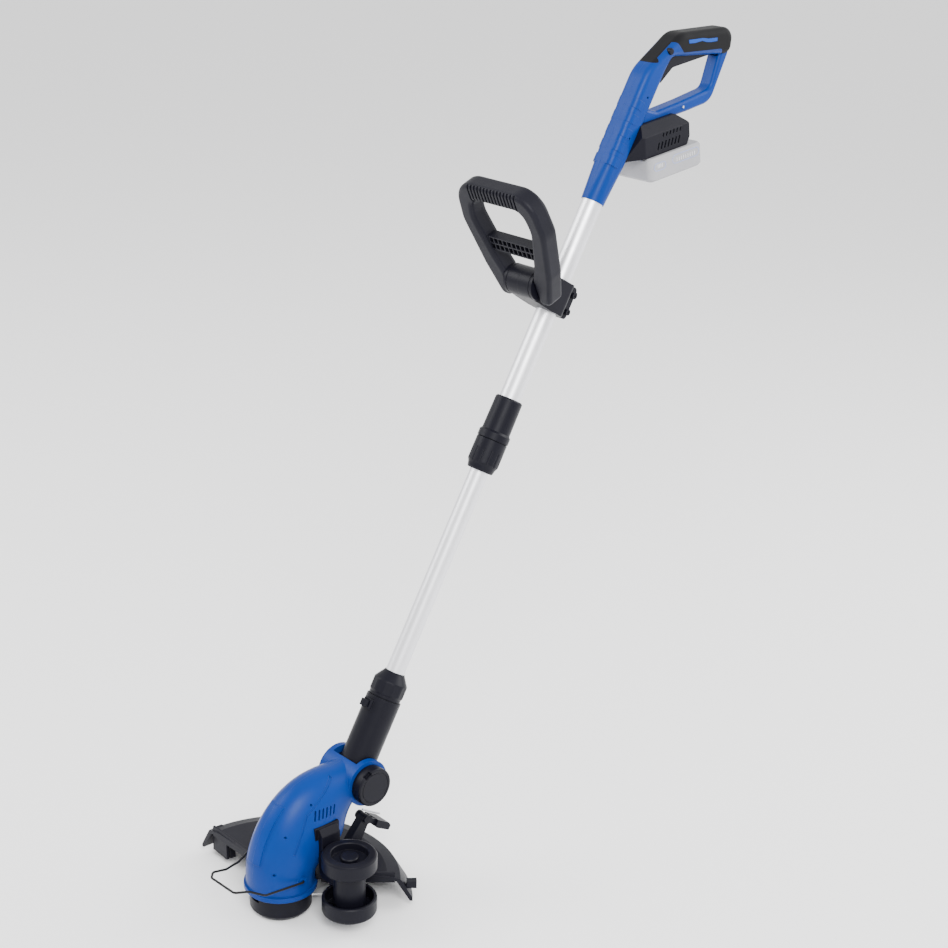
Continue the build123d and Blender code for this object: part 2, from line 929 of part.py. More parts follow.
def clamp_form():
    """Clamp block with its hub barrel, both halves together."""
    with BuildPart() as form:
        with BuildSketch(shaft_side):
            with BuildLine():
                FilletPolyline(
                    (hub_out, clamp_low + 2),
                    (-16, clamp_low),
                    (clamp_back, clamp_low),
                    (clamp_back, clamp_high),
                    (-16, clamp_high),
                    (hub_out, clamp_high - 2),
                    radius=[0, 10, 5, 5, 10, 0],
                    close=True,
                )
            make_face()
        extrude(amount=clamp_half, both=True)
        for side in (-1, 1):
            with BuildSketch(shaft_plane(clamp_low - 5)):
                with BuildLine():
                    FilletPolyline(
                        (2, side * 30),
                        (2, side * clamp_half),
                        (9, side * clamp_half),
                        (17, side * clamp_ear_half),
                        (40, side * clamp_ear_half),
                        (40, side * 30),
                        radius=[0, 0, 8, 4, 0, 0],
                        close=True,
                    )
                make_face()
            extrude(amount=60, mode=Mode.SUBTRACT)
        with BuildSketch(shaft_side):
            with Locations((hub_out, hub_up)):
                Circle(hub_r)
        extrude(amount=hub_half, both=True)
        for side in (-1, 1):
            with BuildSketch(shaft_side.offset(side * (hub_half - 5))):
                with Locations((hub_out, hub_up)):
                    Circle(hub_r + 2)
                    Circle(hub_r - 0.8, mode=Mode.SUBTRACT)
            extrude(amount=0.8, both=True, mode=Mode.SUBTRACT)
        with BuildSketch(shaft_plane(clamp_low - 5)):
            Circle(upper_tube_od / 2 + slip)
        extrude(amount=60, mode=Mode.SUBTRACT)
        with BuildSketch(shaft_side):
            with Locations((hub_out, hub_up)):
                Circle(axle_r)
            with Locations(*clamp_screw_places):
                Circle(clamp_screw_r)
        extrude(amount=60, both=True, mode=Mode.SUBTRACT)
    return form.part


clamp_whole = clamp_form()
with BuildPart() as aux_clamp_left:
    add(left_half(clamp_whole))
aux_clamp_left.part.label = "aux_clamp_left"
export_step(aux_clamp_left.part, "parts/aux_clamp_left.step")

with BuildPart() as aux_clamp_right:
    add(right_half(clamp_whole))
aux_clamp_right.part.label = "aux_clamp_right"
export_step(aux_clamp_right.part, "parts/aux_clamp_right.step")

with BuildPart() as aux_clamp_screws:
    with BuildSketch(shaft_side.offset(-clamp_ear_half)):
        with Locations(*clamp_screw_places):
            Circle(clamp_screw_r - 0.02)
    extrude(amount=2 * clamp_ear_half)
    with BuildSketch(shaft_side.offset(clamp_ear_half)):
        with Locations(*clamp_screw_places):
            Circle(4)
    extrude(amount=5)
    with BuildSketch(shaft_side.offset(-clamp_ear_half)):
        with Locations(*clamp_screw_places):
            RegularPolygon(4, 6)
    extrude(amount=-3)
    with BuildSketch(shaft_side.offset(clamp_ear_half + 5)):
        with Locations(*clamp_screw_places):
            Rectangle(4.5, 1)
            Rectangle(1, 4.5)
    extrude(amount=-1.6, mode=Mode.SUBTRACT)
aux_clamp_screws.part.label = "aux_clamp_screws"
export_step(aux_clamp_screws.part, "parts/aux_clamp_screws.step")

with BuildPart() as aux_pivot_bolt:
    add(cross_rod(hub_centre.X, hub_centre.Z, axle_r - pin_slip, -aux_bolt_half, aux_bolt_half))
aux_pivot_bolt.part.label = "aux_pivot_bolt"
export_step(aux_pivot_bolt.part, "parts/aux_pivot_bolt.step")

grip_reach = loop_reach + 13
cross_low, cross_high = 46.0, 66.0
arm_in = loop_wide - arm_width


with BuildPart() as aux_handle_loop:
    with BuildSketch(loop_plane):
        with BuildLine():
            FilletPolyline(
                (hub_half + 0.5, 18),
                (hub_half + 0.5, -21),
                (loop_wide - 30, -21),
                (loop_wide - 14, 24),
                (loop_wide + 1, 90),
                (loop_wide - 6, grip_reach),
                (6 - loop_wide, grip_reach),
                (-loop_wide - 1, 90),
                (14 - loop_wide, 24),
                (30 - loop_wide, -21),
                (-hub_half - 0.5, -21),
                (-hub_half - 0.5, 18),
                (16 - arm_in, 40),
                (-arm_in, 94),
                (6 - arm_in, grip_reach - 24),
                (arm_in - 6, grip_reach - 24),
                (arm_in, 94),
                (arm_in - 16, 40),
                radius=[10, 8, 10, 40, 40, 34, 34, 40, 40, 10, 8, 10, 30, 30, 16, 16, 30, 30],
                close=True,
            )
        make_face()
    extrude(amount=loop_thick / 2, both=True)
    rims = [
        e
        for e in aux_handle_loop.edges()
        if abs(abs(loop_plane.to_local_coords(e.center()).Z) - loop_thick / 2) < 0.01
    ]
    fillet(rims, radius=6)
    with BuildSketch(loop_plane.offset(-7)):
        with Locations((0, (cross_low + cross_high) / 2)):
            Rectangle(2 * arm_in - 8, cross_high - cross_low)
    extrude(amount=14)
    with BuildSketch(loop_plane.offset(-7)):
        with Locations((0, (cross_low + cross_high) / 2)):
            with GridLocations(8.2, 9.2, 10, 2):
                Rectangle(6.4, 7.2)
    extrude(amount=9, mode=Mode.SUBTRACT)
    with BuildSketch(shaft_side):
        with Locations((hub_out, hub_up)):
            Circle(hub_r + 1)
    extrude(amount=hub_half + 0.5, both=True, mode=Mode.SUBTRACT)
    with BuildSketch(shaft_side):
        with Locations((hub_out, hub_up)):
            Circle(axle_r)
    extrude(amount=aux_bolt_half + 1, both=True, mode=Mode.SUBTRACT)
    rib_pitch = 6.0
    with BuildSketch(loop_plane.offset(-loop_thick / 2 - 1)):
        with Locations((0, grip_reach - 13)):
            with GridLocations(rib_pitch, 1, grip_ribs, 1):
                Rectangle(3.0, 30)
    extrude(amount=4.5, mode=Mode.SUBTRACT)
aux_handle_loop.part.label = "aux_handle_loop"
export_step(aux_handle_loop.part, "parts/aux_handle_loop.step")

# ------------------------------------------------------------------ neck
neck_bore = lower_tube_od / 2 + slip
with BuildPart() as neck_sleeve:
    with BuildSketch(shaft_plane(0)):
        Circle(neck_od / 2)
    extrude(amount=neck_top)
    with BuildSketch(shaft_plane(neck_top)):
        Circle(neck_collar_od / 2)
    extrude(amount=neck_collar_length)
    add(cross_rod(pivot_x, pivot_z, barrel_r, -neck_od / 2, neck_od / 2))
    with BuildSketch(shaft_plane(neck_top + neck_collar_length)):
        Circle(neck_bore)
    extrude(amount=-(neck_collar_length + neck_bore_depth), mode=Mode.SUBTRACT)
    with BuildSketch(shaft_plane(14)):
        Circle(16)
    extrude(amount=neck_top - neck_bore_depth - 14, mode=Mode.SUBTRACT)
    with BuildSketch(shaft_plane(-30)):
        with Locations((0, 10)):
            Circle(4)
    extrude(amount=50, mode=Mode.SUBTRACT)
    with BuildSketch(side_plane):
        with Locations((pivot_x, pivot_z)):
            Circle(pivot_bolt_r + pin_slip)
    extrude(amount=40, both=True, mode=Mode.SUBTRACT)
    with BuildSketch(shaft_plane(88)):
        with Locations((-neck_od / 2 + 0.5, 0)):
            RectangleRounded(9, 15, 2)
        with Locations((neck_od / 2 - 0.5, 0)):
            Circle(4.5)
        Circle(neck_bore + 1, mode=Mode.SUBTRACT)
    extrude(amount=13)
    with BuildSketch(shaft_plane(90)):
        with Locations((-neck_od / 2 - 1.5, 0)):
            Rectangle(10 + 2 * slip, 9 + 2 * slip)
    extrude(amount=9 + slip, mode=Mode.SUBTRACT)
neck_sleeve.part.label = "neck_sleeve"
export_step(neck_sleeve.part, "parts/neck_sleeve.step")

with BuildPart() as rotation_lock_button:
    with BuildSketch(shaft_plane(90 + slip)):
        with Locations((-neck_od / 2 - 5.1, 0)):
            RectangleRounded(14, 9, 3)
    extrude(amount=9 - slip)
rotation_lock_button.part.label = "rotation_lock_button"
export_step(rotation_lock_button.part, "parts/rotation_lock_button.step")

with BuildPart() as neck_nut:
    add(
        turned(
            [
                (tube_gap + 0.2, neck_top + slip + neck_nut_length),
                (neck_nut_top_od / 2 - 1.2, neck_top + slip + neck_nut_length),
                (neck_nut_top_od / 2, neck_top + slip + neck_nut_length - 2),
                (neck_od / 2 - 0.9, neck_top + slip + neck_nut_length - 13),
                (neck_od / 2 - 0.2, neck_top + slip + neck_nut_length - 15),
                (neck_od / 2 - 0.2, neck_top + slip + 7),
                (neck_od / 2 - 1.8, neck_top + slip + 4),
                (neck_od / 2 - 1.8, neck_top + slip),
                (neck_collar_od / 2 + 0.5, neck_top + slip),
                (neck_collar_od / 2 + 0.5, neck_top + neck_collar_length + 1),
                (tube_gap + 0.2, neck_top + neck_collar_length + 1),
            ]
        )
    )
with BuildPart() as nut_flats:
    with BuildSketch(shaft_plane(neck_top - 5)):
        RegularPolygon(neck_od / 2 - 0.7, nut_flat_count, major_radius=False)
    extrude(amount=60)
with neck_nut:
    add(nut_flats.part, mode=Mode.INTERSECT)
neck_nut.part.label = "neck_nut"
export_step(neck_nut.part, "parts/neck_nut.step")

# ------------------------------------------------------------------ head shells
body_sections = [
    (0, 40, 0, body_r, body_r),
    (1, 60, 3, 45, body_r),
    (20, 92, 25, 55, 43),
    (53, 122, 50, 56, 38),
    (86, 143, 74, 34, 33),
    (108, 150, 84, 29, 31),
]


def head_form(inset):
    """Swept body from the motor housing back and up to the tilt pivot."""
    with BuildPart() as form:
        for x, z, tilt, deep, half in body_sections:
            lean = radians(tilt)
            station = Plane(
                origin=(x, 0, z), x_dir=(cos(lean), 0, -sin(lean)), z_dir=(sin(lean), 0, cos(lean))
            )
            with BuildSketch(station):
                Ellipse(deep - inset, half - inset)
        loft()
    return form.part


def slot_for_neck():
    """Room between the ears for the neck over its whole tilt."""
    swung = radians(shaft_lean + tilt_travel)
    edge = slot_half + 0.6
    reach_out = 90.0
    far_front = on_shaft(reach_out, -edge)
    far_rear = pivot + Vector(
        reach_out * sin(swung) + edge * cos(swung), 0, reach_out * cos(swung) - edge * sin(swung)
    )
    near_rear = pivot + Vector(edge * cos(swung), 0, -edge * sin(swung))
    with BuildPart() as room:
        with BuildSketch(side_plane):
            with BuildLine():
                Polyline(
                    side_point(0, -edge),
                    (far_front.X, far_front.Z),
                    (far_rear.X + 40, far_rear.Z + 60),
                    (far_rear.X, far_rear.Z),
                    (near_rear.X, near_rear.Z),
                    (pivot_x, pivot_z),
                    close=True,
                )
            make_face()
            with Locations((pivot_x, pivot_z)):
                Circle(edge)
        extrude(amount=slot_half, both=True)
    return room.part


knob_r = 26.0
guard_screw_places = [(58, 18), (58, -10)]
head_screw_places = [(-31, 72), (-12, 118), (28, 150), (72, 90)]
vent_x, vent_z = 44.0, 136.0
wire_pivot_z = 60.0
boss_reach = 48.0

head_outer = head_form(0)
with BuildPart() as head_cavity:
    add(head_form(wall))
    add(
        side_prism([(-80, 0), (-80, 43), (120, 43), (120, 0)], 60),
        mode=Mode.SUBTRACT,
    )
    add(
        side_prism([(92, 60), (92, 220), (160, 220), (160, 60)], 60),
        mode=Mode.SUBTRACT,
    )

ridge_rise = 2.2
ridge_half = 12.0
with BuildPart() as head_ridge:
    add(head_form(-ridge_rise))
    add(
        side_prism([(-70, 79), (-70, 150), (24, 150), (-4, 114), (-17, 82)], ridge_half),
        mode=Mode.INTERSECT,
    )

with BuildPart() as trim_grooves:
    add(head_outer)
    add(head_form(1.0), mode=Mode.SUBTRACT)
    add(
        side_prism([(67, 172.5), (17.6, 140.4), (-8, 96), (-5.6, 95), (19.6, 138.4), (69, 170)], 60),
        mode=Mode.INTERSECT,
    )

with BuildPart() as head_bosses:
    with BuildSketch(side_plane):
        with Locations(*head_screw_places):
            Circle(3.6)
    extrude(amount=50, both=True)
    add(head_form(1.0), mode=Mode.INTERSECT)

with BuildPart() as head_whole:
    add(head_outer)
    add(head_ridge.part)
    add(trim_grooves.part, mode=Mode.SUBTRACT)
    add(
        upright(
            [
                (0, flange_low),
                (flange_r - 1.5, flange_low),
                (flange_r, flange_low + 1.5),
                (flange_r, flange_low + flange_thick),
                (body_r - 2, flange_low + flange_thick + 0.2),
                (body_r - 2, 43.2),
                (0, 43.2),
            ]
        )
    )
    with BuildSketch(side_plane):
        with Locations((pivot_x, pivot_z)):
            Circle(ear_r)
    extrude(amount=slot_half + ear_thick, both=True)
    add(cross_rod(0, wire_pivot_z, 5, -boss_reach, boss_reach))
    add(head_cavity.part, mode=Mode.SUBTRACT)
    add(head_bosses.part)
    add(slot_for_neck(), mode=Mode.SUBTRACT)
    add(
        cross_rod(pivot_x, pivot_z, knob_r + 0.6, -60, -slot_half - ear_thick),
        mode=Mode.SUBTRACT,
    )
    add(upright([(0, 30), (4, 30), (4, 50), (0, 50)]), mode=Mode.SUBTRACT)
    add(
        upright([(0, 44), (fan_r + 1.5, 44), (fan_r + 1.5, 58), (0, 58)]), mode=Mode.SUBTRACT
    )
    add(
        upright(
            [
                (0, motor_low - 3),
                (motor_r, motor_low - 3),
                (motor_r, motor_top),
                (0, motor_top),
            ]
        ),
        mode=Mode.SUBTRACT,
    )
    with BuildSketch(side_plane):
        with Locations((pivot_x, pivot_z)):
            Circle(pivot_bolt_r)
        with Locations(*head_screw_places):
            Circle(1.6)
        with Locations((0, wire_pivot_z)):
            Circle(wire_r + 0.1)
    extrude(amount=60, both=True, mode=Mode.SUBTRACT)
    with BuildSketch(side_plane):
        with Locations((vent_x, vent_z)):
            with GridLocations(5.8, 1, 6, 1):
                SlotCenterToCenter(11, 2.4, rotation=74)
    extrude(amount=60, both=True, mode=Mode.SUBTRACT)

with BuildPart() as head_shell_left:
    add(left_half(head_whole.part))
head_shell_left.part.label = "head_shell_left"
export_step(head_shell_left.part, "parts/head_shell_left.step")

with BuildPart() as head_shell_right:
    add(right_half(head_whole.part))
head_shell_right.part.label = "head_shell_right"
export_step(head_shell_right.part, "parts/head_shell_right.step")

with BuildPart() as head_screws:
    for place_x, place_z in head_screw_places:
        with BuildSketch(Plane(origin=(place_x, 16, place_z), x_dir=(1, 0, 0), z_dir=(0, -1, 0))):
            Circle(1.58)
        extrude(amount=32)
        with BuildSketch(Plane(origin=(place_x, 19, place_z), x_dir=(1, 0, 0), z_dir=(0, -1, 0))):
            Circle(1.58)
        extrude(amount=3)
    for place_x, place_y in guard_screw_places:
        add(
            upright(
                [
                    (0, guard_z - 3.4),
                    (1.68, guard_z - 3.4),
                    (1.68, guard_z + 1.6),
                    (3.4, guard_z + 1.6),
                    (3.4, guard_z + 3.6),
                    (0, guard_z + 3.6),
                ],
                place_x,
                place_y,
            )
        )
head_screws.part.label = "head_screws"
export_step(head_screws.part, "parts/head_screws.step")

# ------------------------------------------------------------------ tilt pivot and knob
knob_face = slot_half + ear_thick
knob_thick = 15.0
with BuildPart() as pivot_bolt:
    add(cross_rod(pivot_x, pivot_z, pivot_bolt_r - 0.01, -knob_face - 9, knob_face + 1))
    add(cross_rod(pivot_x, pivot_z, 12, knob_face, knob_face + 5))
    fillet(pivot_bolt.edges().group_by(Axis.Y)[-1], radius=2)
pivot_bolt.part.label = "pivot_bolt"
export_step(pivot_bolt.part, "parts/pivot_bolt.step")

with BuildPart() as tilt_knob:
    add(
        cross_rod(
            pivot_x, pivot_z, knob_r, -knob_face - slip - knob_thick, -knob_face - slip
        )
    )
    fillet(tilt_knob.edges().group_by(Axis.Y)[0], radius=2.5)
    with BuildSketch(Plane(origin=(pivot_x, -knob_face - slip - knob_thick, pivot_z), z_dir=(0, -1, 0))):
        Circle(knob_r - 5)
        Circle(knob_r - 6.2, mode=Mode.SUBTRACT)
    extrude(amount=-0.8, mode=Mode.SUBTRACT)
    with BuildSketch(Plane(origin=(pivot_x, -knob_face - slip - knob_thick, pivot_z), x_dir=(1, 0, 0), z_dir=(0, -1, 0))):
        with Locations((-12, 22)):
            Rectangle(11, 9, rotation=30)
    extrude(amount=-5, mode=Mode.SUBTRACT)
    add(
        cross_rod(pivot_x, pivot_z, pivot_bolt_r + pin_slip, -knob_face - 10, -knob_face + 1),
        mode=Mode.SUBTRACT,
    )
tilt_knob.part.label = "tilt_knob"
export_step(tilt_knob.part, "parts/tilt_knob.step")

# ------------------------------------------------------------------ motor and cooling fan
can_wall = 1.2
with BuildPart() as motor_can:
    add(
        upright(
            [
                (shaft_r + 0.5, motor_low),
                (motor_r - 0.2, motor_low),
                (motor_r - 0.2, motor_top),
                (shaft_r + 0.5, motor_top),
                (shaft_r + 0.5, motor_top - can_wall),
                (motor_r - can_wall, motor_top - can_wall),
                (motor_r - can_wall, motor_low + can_wall),
                (shaft_r + 0.5, motor_low + can_wall),
            ]
        )
    )
motor_can.part.label = "motor_can"
export_step(motor_can.part, "parts/motor_can.step")

rotor_r = motor_r - can_wall - 3.8
with BuildPart() as motor_rotor:
    with BuildSketch(Plane.XY.offset(motor_low + 12)):
        Circle(rotor_r)
        with PolarLocations(rotor_r, 5):
            Rectangle(7, 2.2, mode=Mode.SUBTRACT)
    extrude(amount=28)
    add(upright([(0, 12), (shaft_r, 12), (shaft_r, motor_top - 0.4), (0, motor_top - 0.4)]))
motor_rotor.part.label = "motor_rotor"
export_step(motor_rotor.part, "parts/motor_rotor.step")

fan_low = 46.0
with BuildPart() as cooling_fan:
    add(
        upright(
            [(shaft_r, fan_low), (fan_r, fan_low), (fan_r, fan_low + 1.4), (6, fan_low + 2), (6, fan_low + 10), (shaft_r, fan_low + 10)]
        )
    )
    with BuildSketch(Plane.XY.offset(fan_low + 1)):
        with PolarLocations(21, 9):
            Rectangle(25, 1.4, rotation=28)
    extrude(amount=8.5)
    add(
        upright([(fan_r, 40), (60, 40), (60, 60), (fan_r, 60)]),
        mode=Mode.SUBTRACT,
    )
cooling_fan.part.label = "cooling_fan"
export_step(cooling_fan.part, "parts/cooling_fan.step")

with BuildPart() as head_lead:
    with BuildLine() as head_path:
        FilletPolyline(
            (10, 0, motor_top),
            (10, 0, motor_top + 16),
            (44, 0, 142),
            (88, 0, 146),
            radius=[14, 40],
        )
    with BuildSketch(Plane(origin=head_path.line @ 0, z_dir=head_path.line % 0)):
        Circle(lead_r)
    sweep()
head_lead.part.label = "head_lead"
export_step(head_lead.part, "parts/head_lead.step")

# ------------------------------------------------------------------ line spool
reel_low = 7.0
reel_top = 24.0
drum_r = 15.0
eyelet_r = 2.6
window_low, window_high = 8.0, 22.0
eyelet_lean = radians(eyelet_angle)


def ray_plane(angle, radius, height):
    """Plane facing outwards at an angle round the spool."""
    turn = radians(angle)
    return Plane(
        origin=(radius * cos(turn), radius * sin(turn), height),
        x_dir=(-sin(turn), cos(turn), 0),
        z_dir=(cos(turn), sin(turn), 0),
    )


with BuildPart() as spool_cap:
    add(
        upright(
            [
                (0, 0),
                (cap_r - 6.5, 0),
                (cap_r - 0.8, 6),
                (cap_r, 7.5),
                (cap_r, cap_top),
                (cap_r - cap_wall, cap_top),
                (cap_r - cap_wall, 8),
                (cap_r - 7.5, 2.6),
                (0, 2.6),
            ]
        )
    )
    for angle in (147, -33):
        with BuildSketch(ray_plane(angle + 30, cap_r - 6, 26)):
            RectangleRounded(17, 6, 1)
        extrude(amount=10, mode=Mode.SUBTRACT)
    for angle in (eyelet_angle, eyelet_angle + 180):
        with BuildSketch(ray_plane(angle, cap_r - 8, line_z)):
            Circle(eyelet_r)
        extrude(amount=12, mode=Mode.SUBTRACT)
spool_cap.part.label = "spool_cap"
export_step(spool_cap.part, "parts/spool_cap.step")

with BuildPart() as line_eyelets:
    for angle in (eyelet_angle, eyelet_angle + 180):
        with BuildSketch(ray_plane(angle, cap_r - cap_wall - 0.5, line_z)):
            Circle(eyelet_r)
            Circle(line_r + 0.05, mode=Mode.SUBTRACT)
        extrude(amount=cap_wall + 1.6)
line_eyelets.part.label = "line_eyelets"
export_step(line_eyelets.part, "parts/line_eyelets.step")

with BuildPart() as spool_carrier:
    add(
        upright(
            [
                (shaft_r, 11),
                (6.5, 11),
                (6.5, reel_top + 1),
                (11, reel_top + 2),
                (reel_r + 1, reel_top + 2),
                (reel_r + 1, cap_top - 1),
                (shaft_r, cap_top - 1),
            ]
        )
    )
spool_carrier.part.label = "spool_carrier"
export_step(spool_carrier.part, "parts/spool_carrier.step")

with BuildPart() as line_reel:
    add(
        upright(
            [
                (8, reel_low),
                (reel_r, reel_low),
                (reel_r, reel_low + 1.8),
                (drum_r, reel_low + 1.8),
                (drum_r, reel_top - 1.8),
                (reel_r, reel_top - 1.8),
                (reel_r, reel_top),
                (8, reel_top),
            ]
        )
    )
    with BuildSketch(Plane.XY.offset(reel_top - 3)):
        with PolarLocations(reel_r, 8):
            Rectangle(6, 4)
    extrude(amount=5, mode=Mode.SUBTRACT)
line_reel.part.label = "line_reel"
export_step(line_reel.part, "parts/line_reel.step")

with BuildPart() as wound_line:
    add(
        upright(
            [
                (drum_r, reel_low + 2),
                (27, reel_low + 2),
                (28.5, reel_low + 4),
                (28.5, reel_top - 4),
                (27, reel_top - 2),
                (drum_r, reel_top - 2),
            ]
        )
    )
wound_line.part.label = "wound_line"
export_step(wound_line.part, "parts/wound_line.step")

with BuildPart() as reel_spring:
    for turn in range(3):
        with BuildSketch(Plane.XY.offset(3 + 1.3 * turn)):
            Circle(12 - turn)
            Circle(10.6 - turn, mode=Mode.SUBTRACT)
        extrude(amount=1.3)
reel_spring.part.label = "reel_spring"
export_step(reel_spring.part, "parts/reel_spring.step")

# The free line: chosen points from the eyelet outwards, as distance out, sideways, height
line_route = [
    (cap_r + 1.2, 0.0, line_z),
    (62.0, 0.4, line_z - 0.1),
    (84.0, 2.2, line_z - 0.7),
    (103.0, 5.6, line_z - 2.0),
    (115.0, 9.2, line_z - 3.4),
]


def along_line(out, side, height):
    """Point of the free line in the row frame."""
    return (
        out * cos(eyelet_lean) - side * sin(eyelet_lean),
        out * sin(eyelet_lean) + side * cos(eyelet_lean),
        height,
    )


def corner_radii(points):
    """Largest arc at each corner: 0.45 of the shorter run over the tangent of half the turn."""
    radii = []
    for before, here, after in zip(points, points[1:], points[2:]):
        run_in = Vector(here) - Vector(before)
        run_out = Vector(after) - Vector(here)
        turn = run_in.get_angle(run_out)
        radii.append(0.45 * min(run_in.length, run_out.length) / tan(radians(turn) / 2))
    return radii


line_points = [along_line(*point) for point in line_route]
line_radii = corner_radii(line_points)
print("line radii", [round(radius) for radius in line_radii])
with BuildPart() as cutting_line:
    with BuildLine() as line_path:
        FilletPolyline(*line_points, radius=line_radii)
    with BuildSketch(Plane(origin=line_path.line @ 0, z_dir=line_path.line % 0)):
        Circle(line_r)
    sweep()
print("line length", sum(edge.length for edge in line_path.line.edges()))
cutting_line.part.label = "cutting_line"
export_step(cutting_line.part, "parts/cutting_line.step")

# ------------------------------------------------------------------ edge wheels
upper_low = wheel_low + wheel_height - wheel_thick
wheel_high = wheel_low + wheel_height
lower_high = wheel_low + wheel_thick
bore_r = axle_r + pin_slip

with BuildPart() as upper_edge_wheel:
    add(
        upright(
            [
                (bore_r, upper_low),
                (wheel_r - 2, upper_low),
                (wheel_r, upper_low + 2),
                (wheel_r, wheel_high - 3),
                (wheel_r - 0.9, wheel_high - 0.9),
                (wheel_r - 3, wheel_high),
                (24.5, wheel_high),
                (23.5, wheel_high - 1),
                (22.5, wheel_high - 9),
                (bore_r, wheel_high - 9),
            ],
            wheel_x,
            wheel_y,
        )
    )
upper_edge_wheel.part.label = "upper_edge_wheel"
export_step(upper_edge_wheel.part, "parts/upper_edge_wheel.step")

with BuildPart() as wheel_cap:
    add(
        upright(
            [
                (0, wheel_high - 9),
                (11.5, wheel_high - 9),
                (11.5, wheel_high - 5),
                (10.3, wheel_high - 3.8),
                (0, wheel_high - 3.8),
            ],
            wheel_x,
            wheel_y,
        )
    )
wheel_cap.part.label = "wheel_cap"
export_step(wheel_cap.part, "parts/wheel_cap.step")

with BuildPart() as lower_edge_wheel:
    add(
        upright(
            [
                (bore_r, wheel_low + 1.5),
                (0, wheel_low + 1.5),
                (0, wheel_low),
                (wheel_r - 3, wheel_low),
                (wheel_r - 0.9, wheel_low + 0.9),
                (wheel_r, wheel_low + 3),
                (wheel_r, lower_high - 1.5),
                (wheel_r - 1.5, lower_high),
                (wheel_r - 4, lower_high),
                (wheel_r - 4.5, lower_high - 1),
                (wheel_r - 4.5, wheel_low + 4),
                (8, wheel_low + 4),
                (8, wheel_low + 7),
                (bore_r, wheel_low + 7),
            ],
            wheel_x,
            wheel_y,
        )
    )
    with BuildSketch(Plane.XY.offset(wheel_low + 3.5)):
        with Locations((wheel_x, wheel_y)):
            with PolarLocations(19.5, 6):
                Rectangle(24, 1.6)
    extrude(amount=3)
lower_edge_wheel.part.label = "lower_edge_wheel"
export_step(lower_edge_wheel.part, "parts/lower_edge_wheel.step")

with BuildPart() as wheel_axle:
    add(
        upright(
            [
                (0, wheel_low + 2),
                (axle_r, wheel_low + 2),
                (axle_r, wheel_high - 9.5),
                (0, wheel_high - 9.5),
            ],
            wheel_x,
            wheel_y,
        )
    )
wheel_axle.part.label = "wheel_axle"
export_step(wheel_axle.part, "parts/wheel_axle.step")

hub_low = wheel_low + 8
bracket_half = 14.0
with BuildPart() as wheel_bracket:
    add(
        upright(
            [
                (axle_r, hub_low),
                (wheel_hub_r, hub_low),
                (wheel_hub_r, upper_low - 0.6),
                (axle_r, upper_low - 0.6),
            ],
            wheel_x,
            wheel_y,
        )
    )
    with BuildSketch(Plane(origin=(wheel_x - bracket_half, 0, 0), x_dir=(0, 1, 0), z_dir=(1, 0, 0))):
        with BuildLine():
            FilletPolyline(
                (-30, 121),
                (-43, 121),
                (-50, 112),
                (-50, 79),
                (wheel_y + 14, 79),
                (wheel_y + 14, 53),
                (-44, 53),
                (-40, 92),
                (-30, 94),
                radius=[0, 3, 3, 4, 0, 0, 8, 3, 0],
                close=True,
            )
        make_face()
    extrude(amount=2 * bracket_half)
    with BuildSketch(Plane(origin=(wheel_x - bracket_half - 5, 0, 0), x_dir=(0, 1, 0), z_dir=(1, 0, 0))):
        with Locations((-36, 107)):
            RectangleRounded(11, 30, 2)
    extrude(amount=2 * bracket_half + 10)
    add(
        upright([(0, hub_low - 5), (axle_r, hub_low - 5), (axle_r, 90), (0, 90)], wheel_x, wheel_y),
        mode=Mode.SUBTRACT,
    )
    add(head_outer, mode=Mode.SUBTRACT)
wheel_bracket.part.label = "wheel_bracket"
export_step(wheel_bracket.part, "parts/wheel_bracket.step")

# ------------------------------------------------------------------ debris guard
ring_r = body_r + 0.3
guard_top = guard_z + 0.5
sweep_angle = guard_end - guard_start


def guard_turn(profile, start, arc):
    """Part-turn solid about the spool axis from (radius, height) corners."""
    begin = radians(start)
    with BuildPart() as solid:
        with BuildSketch(Plane(origin=(0, 0, 0), x_dir=(cos(begin), sin(begin), 0), z_dir=(sin(begin), -cos(begin), 0))):
            with BuildLine():
                Polyline(*profile, close=True)
            make_face()
        revolve(axis=Axis.Z, revolution_arc=arc)
    return solid.part


def guard_rib(angle, low, high, inner, outer, thick):
    """Upright rib standing along a radius of the guard."""
    with BuildPart() as solid:
        with BuildSketch(ray_plane(angle, inner, (low + high) / 2)):
            Rectangle(thick, high - low)
        extrude(amount=outer - inner)
    return solid.part


with BuildPart() as debris_guard:
    add(
        guard_turn(
            [
                (ring_r, 40.4),
                (53, 40.4),
                (53, 43.5),
                (guard_r - 20, 43.2),
                (guard_r - 4, 38.5),
                (guard_skirt_r - 3.5, guard_skirt_z),
                (guard_skirt_r, guard_skirt_z),
                (guard_skirt_r, guard_skirt_z + 4),
                (guard_r + 1, 42),
                (guard_r - 16, guard_top),
                (53, guard_top + 1),
                (ring_r, guard_top + 1),
            ],
            guard_start,
            sweep_angle,
        )
    )
    add(guard_rib(guard_start + 1.2, 36, guard_top + 4, 52, guard_r - 6, 3.2))
    add(guard_rib(guard_end - 1.2, 36, guard_top + 4, 52, guard_r - 6, 3.2))
    add(guard_rib(guard_start + 3, 26, 36, guard_skirt_r - 8, guard_skirt_r + 5, 9))
    with BuildSketch(ray_plane(guard_end - 5, 119, 27)):
        Rectangle(14, 33)
    extrude(amount=34)
    with BuildSketch(ray_plane(guard_end - 5, 119, 27)):
        with Locations((2, -3)):
            Rectangle(1.6, 30)
    extrude(amount=26, mode=Mode.SUBTRACT)
    with BuildSketch(Plane.XY.offset(guard_top - 1)):
        with Locations((96, -14)):
            RectangleRounded(26, 16, 3)
    extrude(amount=6)
    with BuildSketch(Plane.XY.offset(43)):
        with Locations(*guard_screw_places):
            Circle(1.7)
    extrude(amount=12, mode=Mode.SUBTRACT)
debris_guard.part.label = "debris_guard"
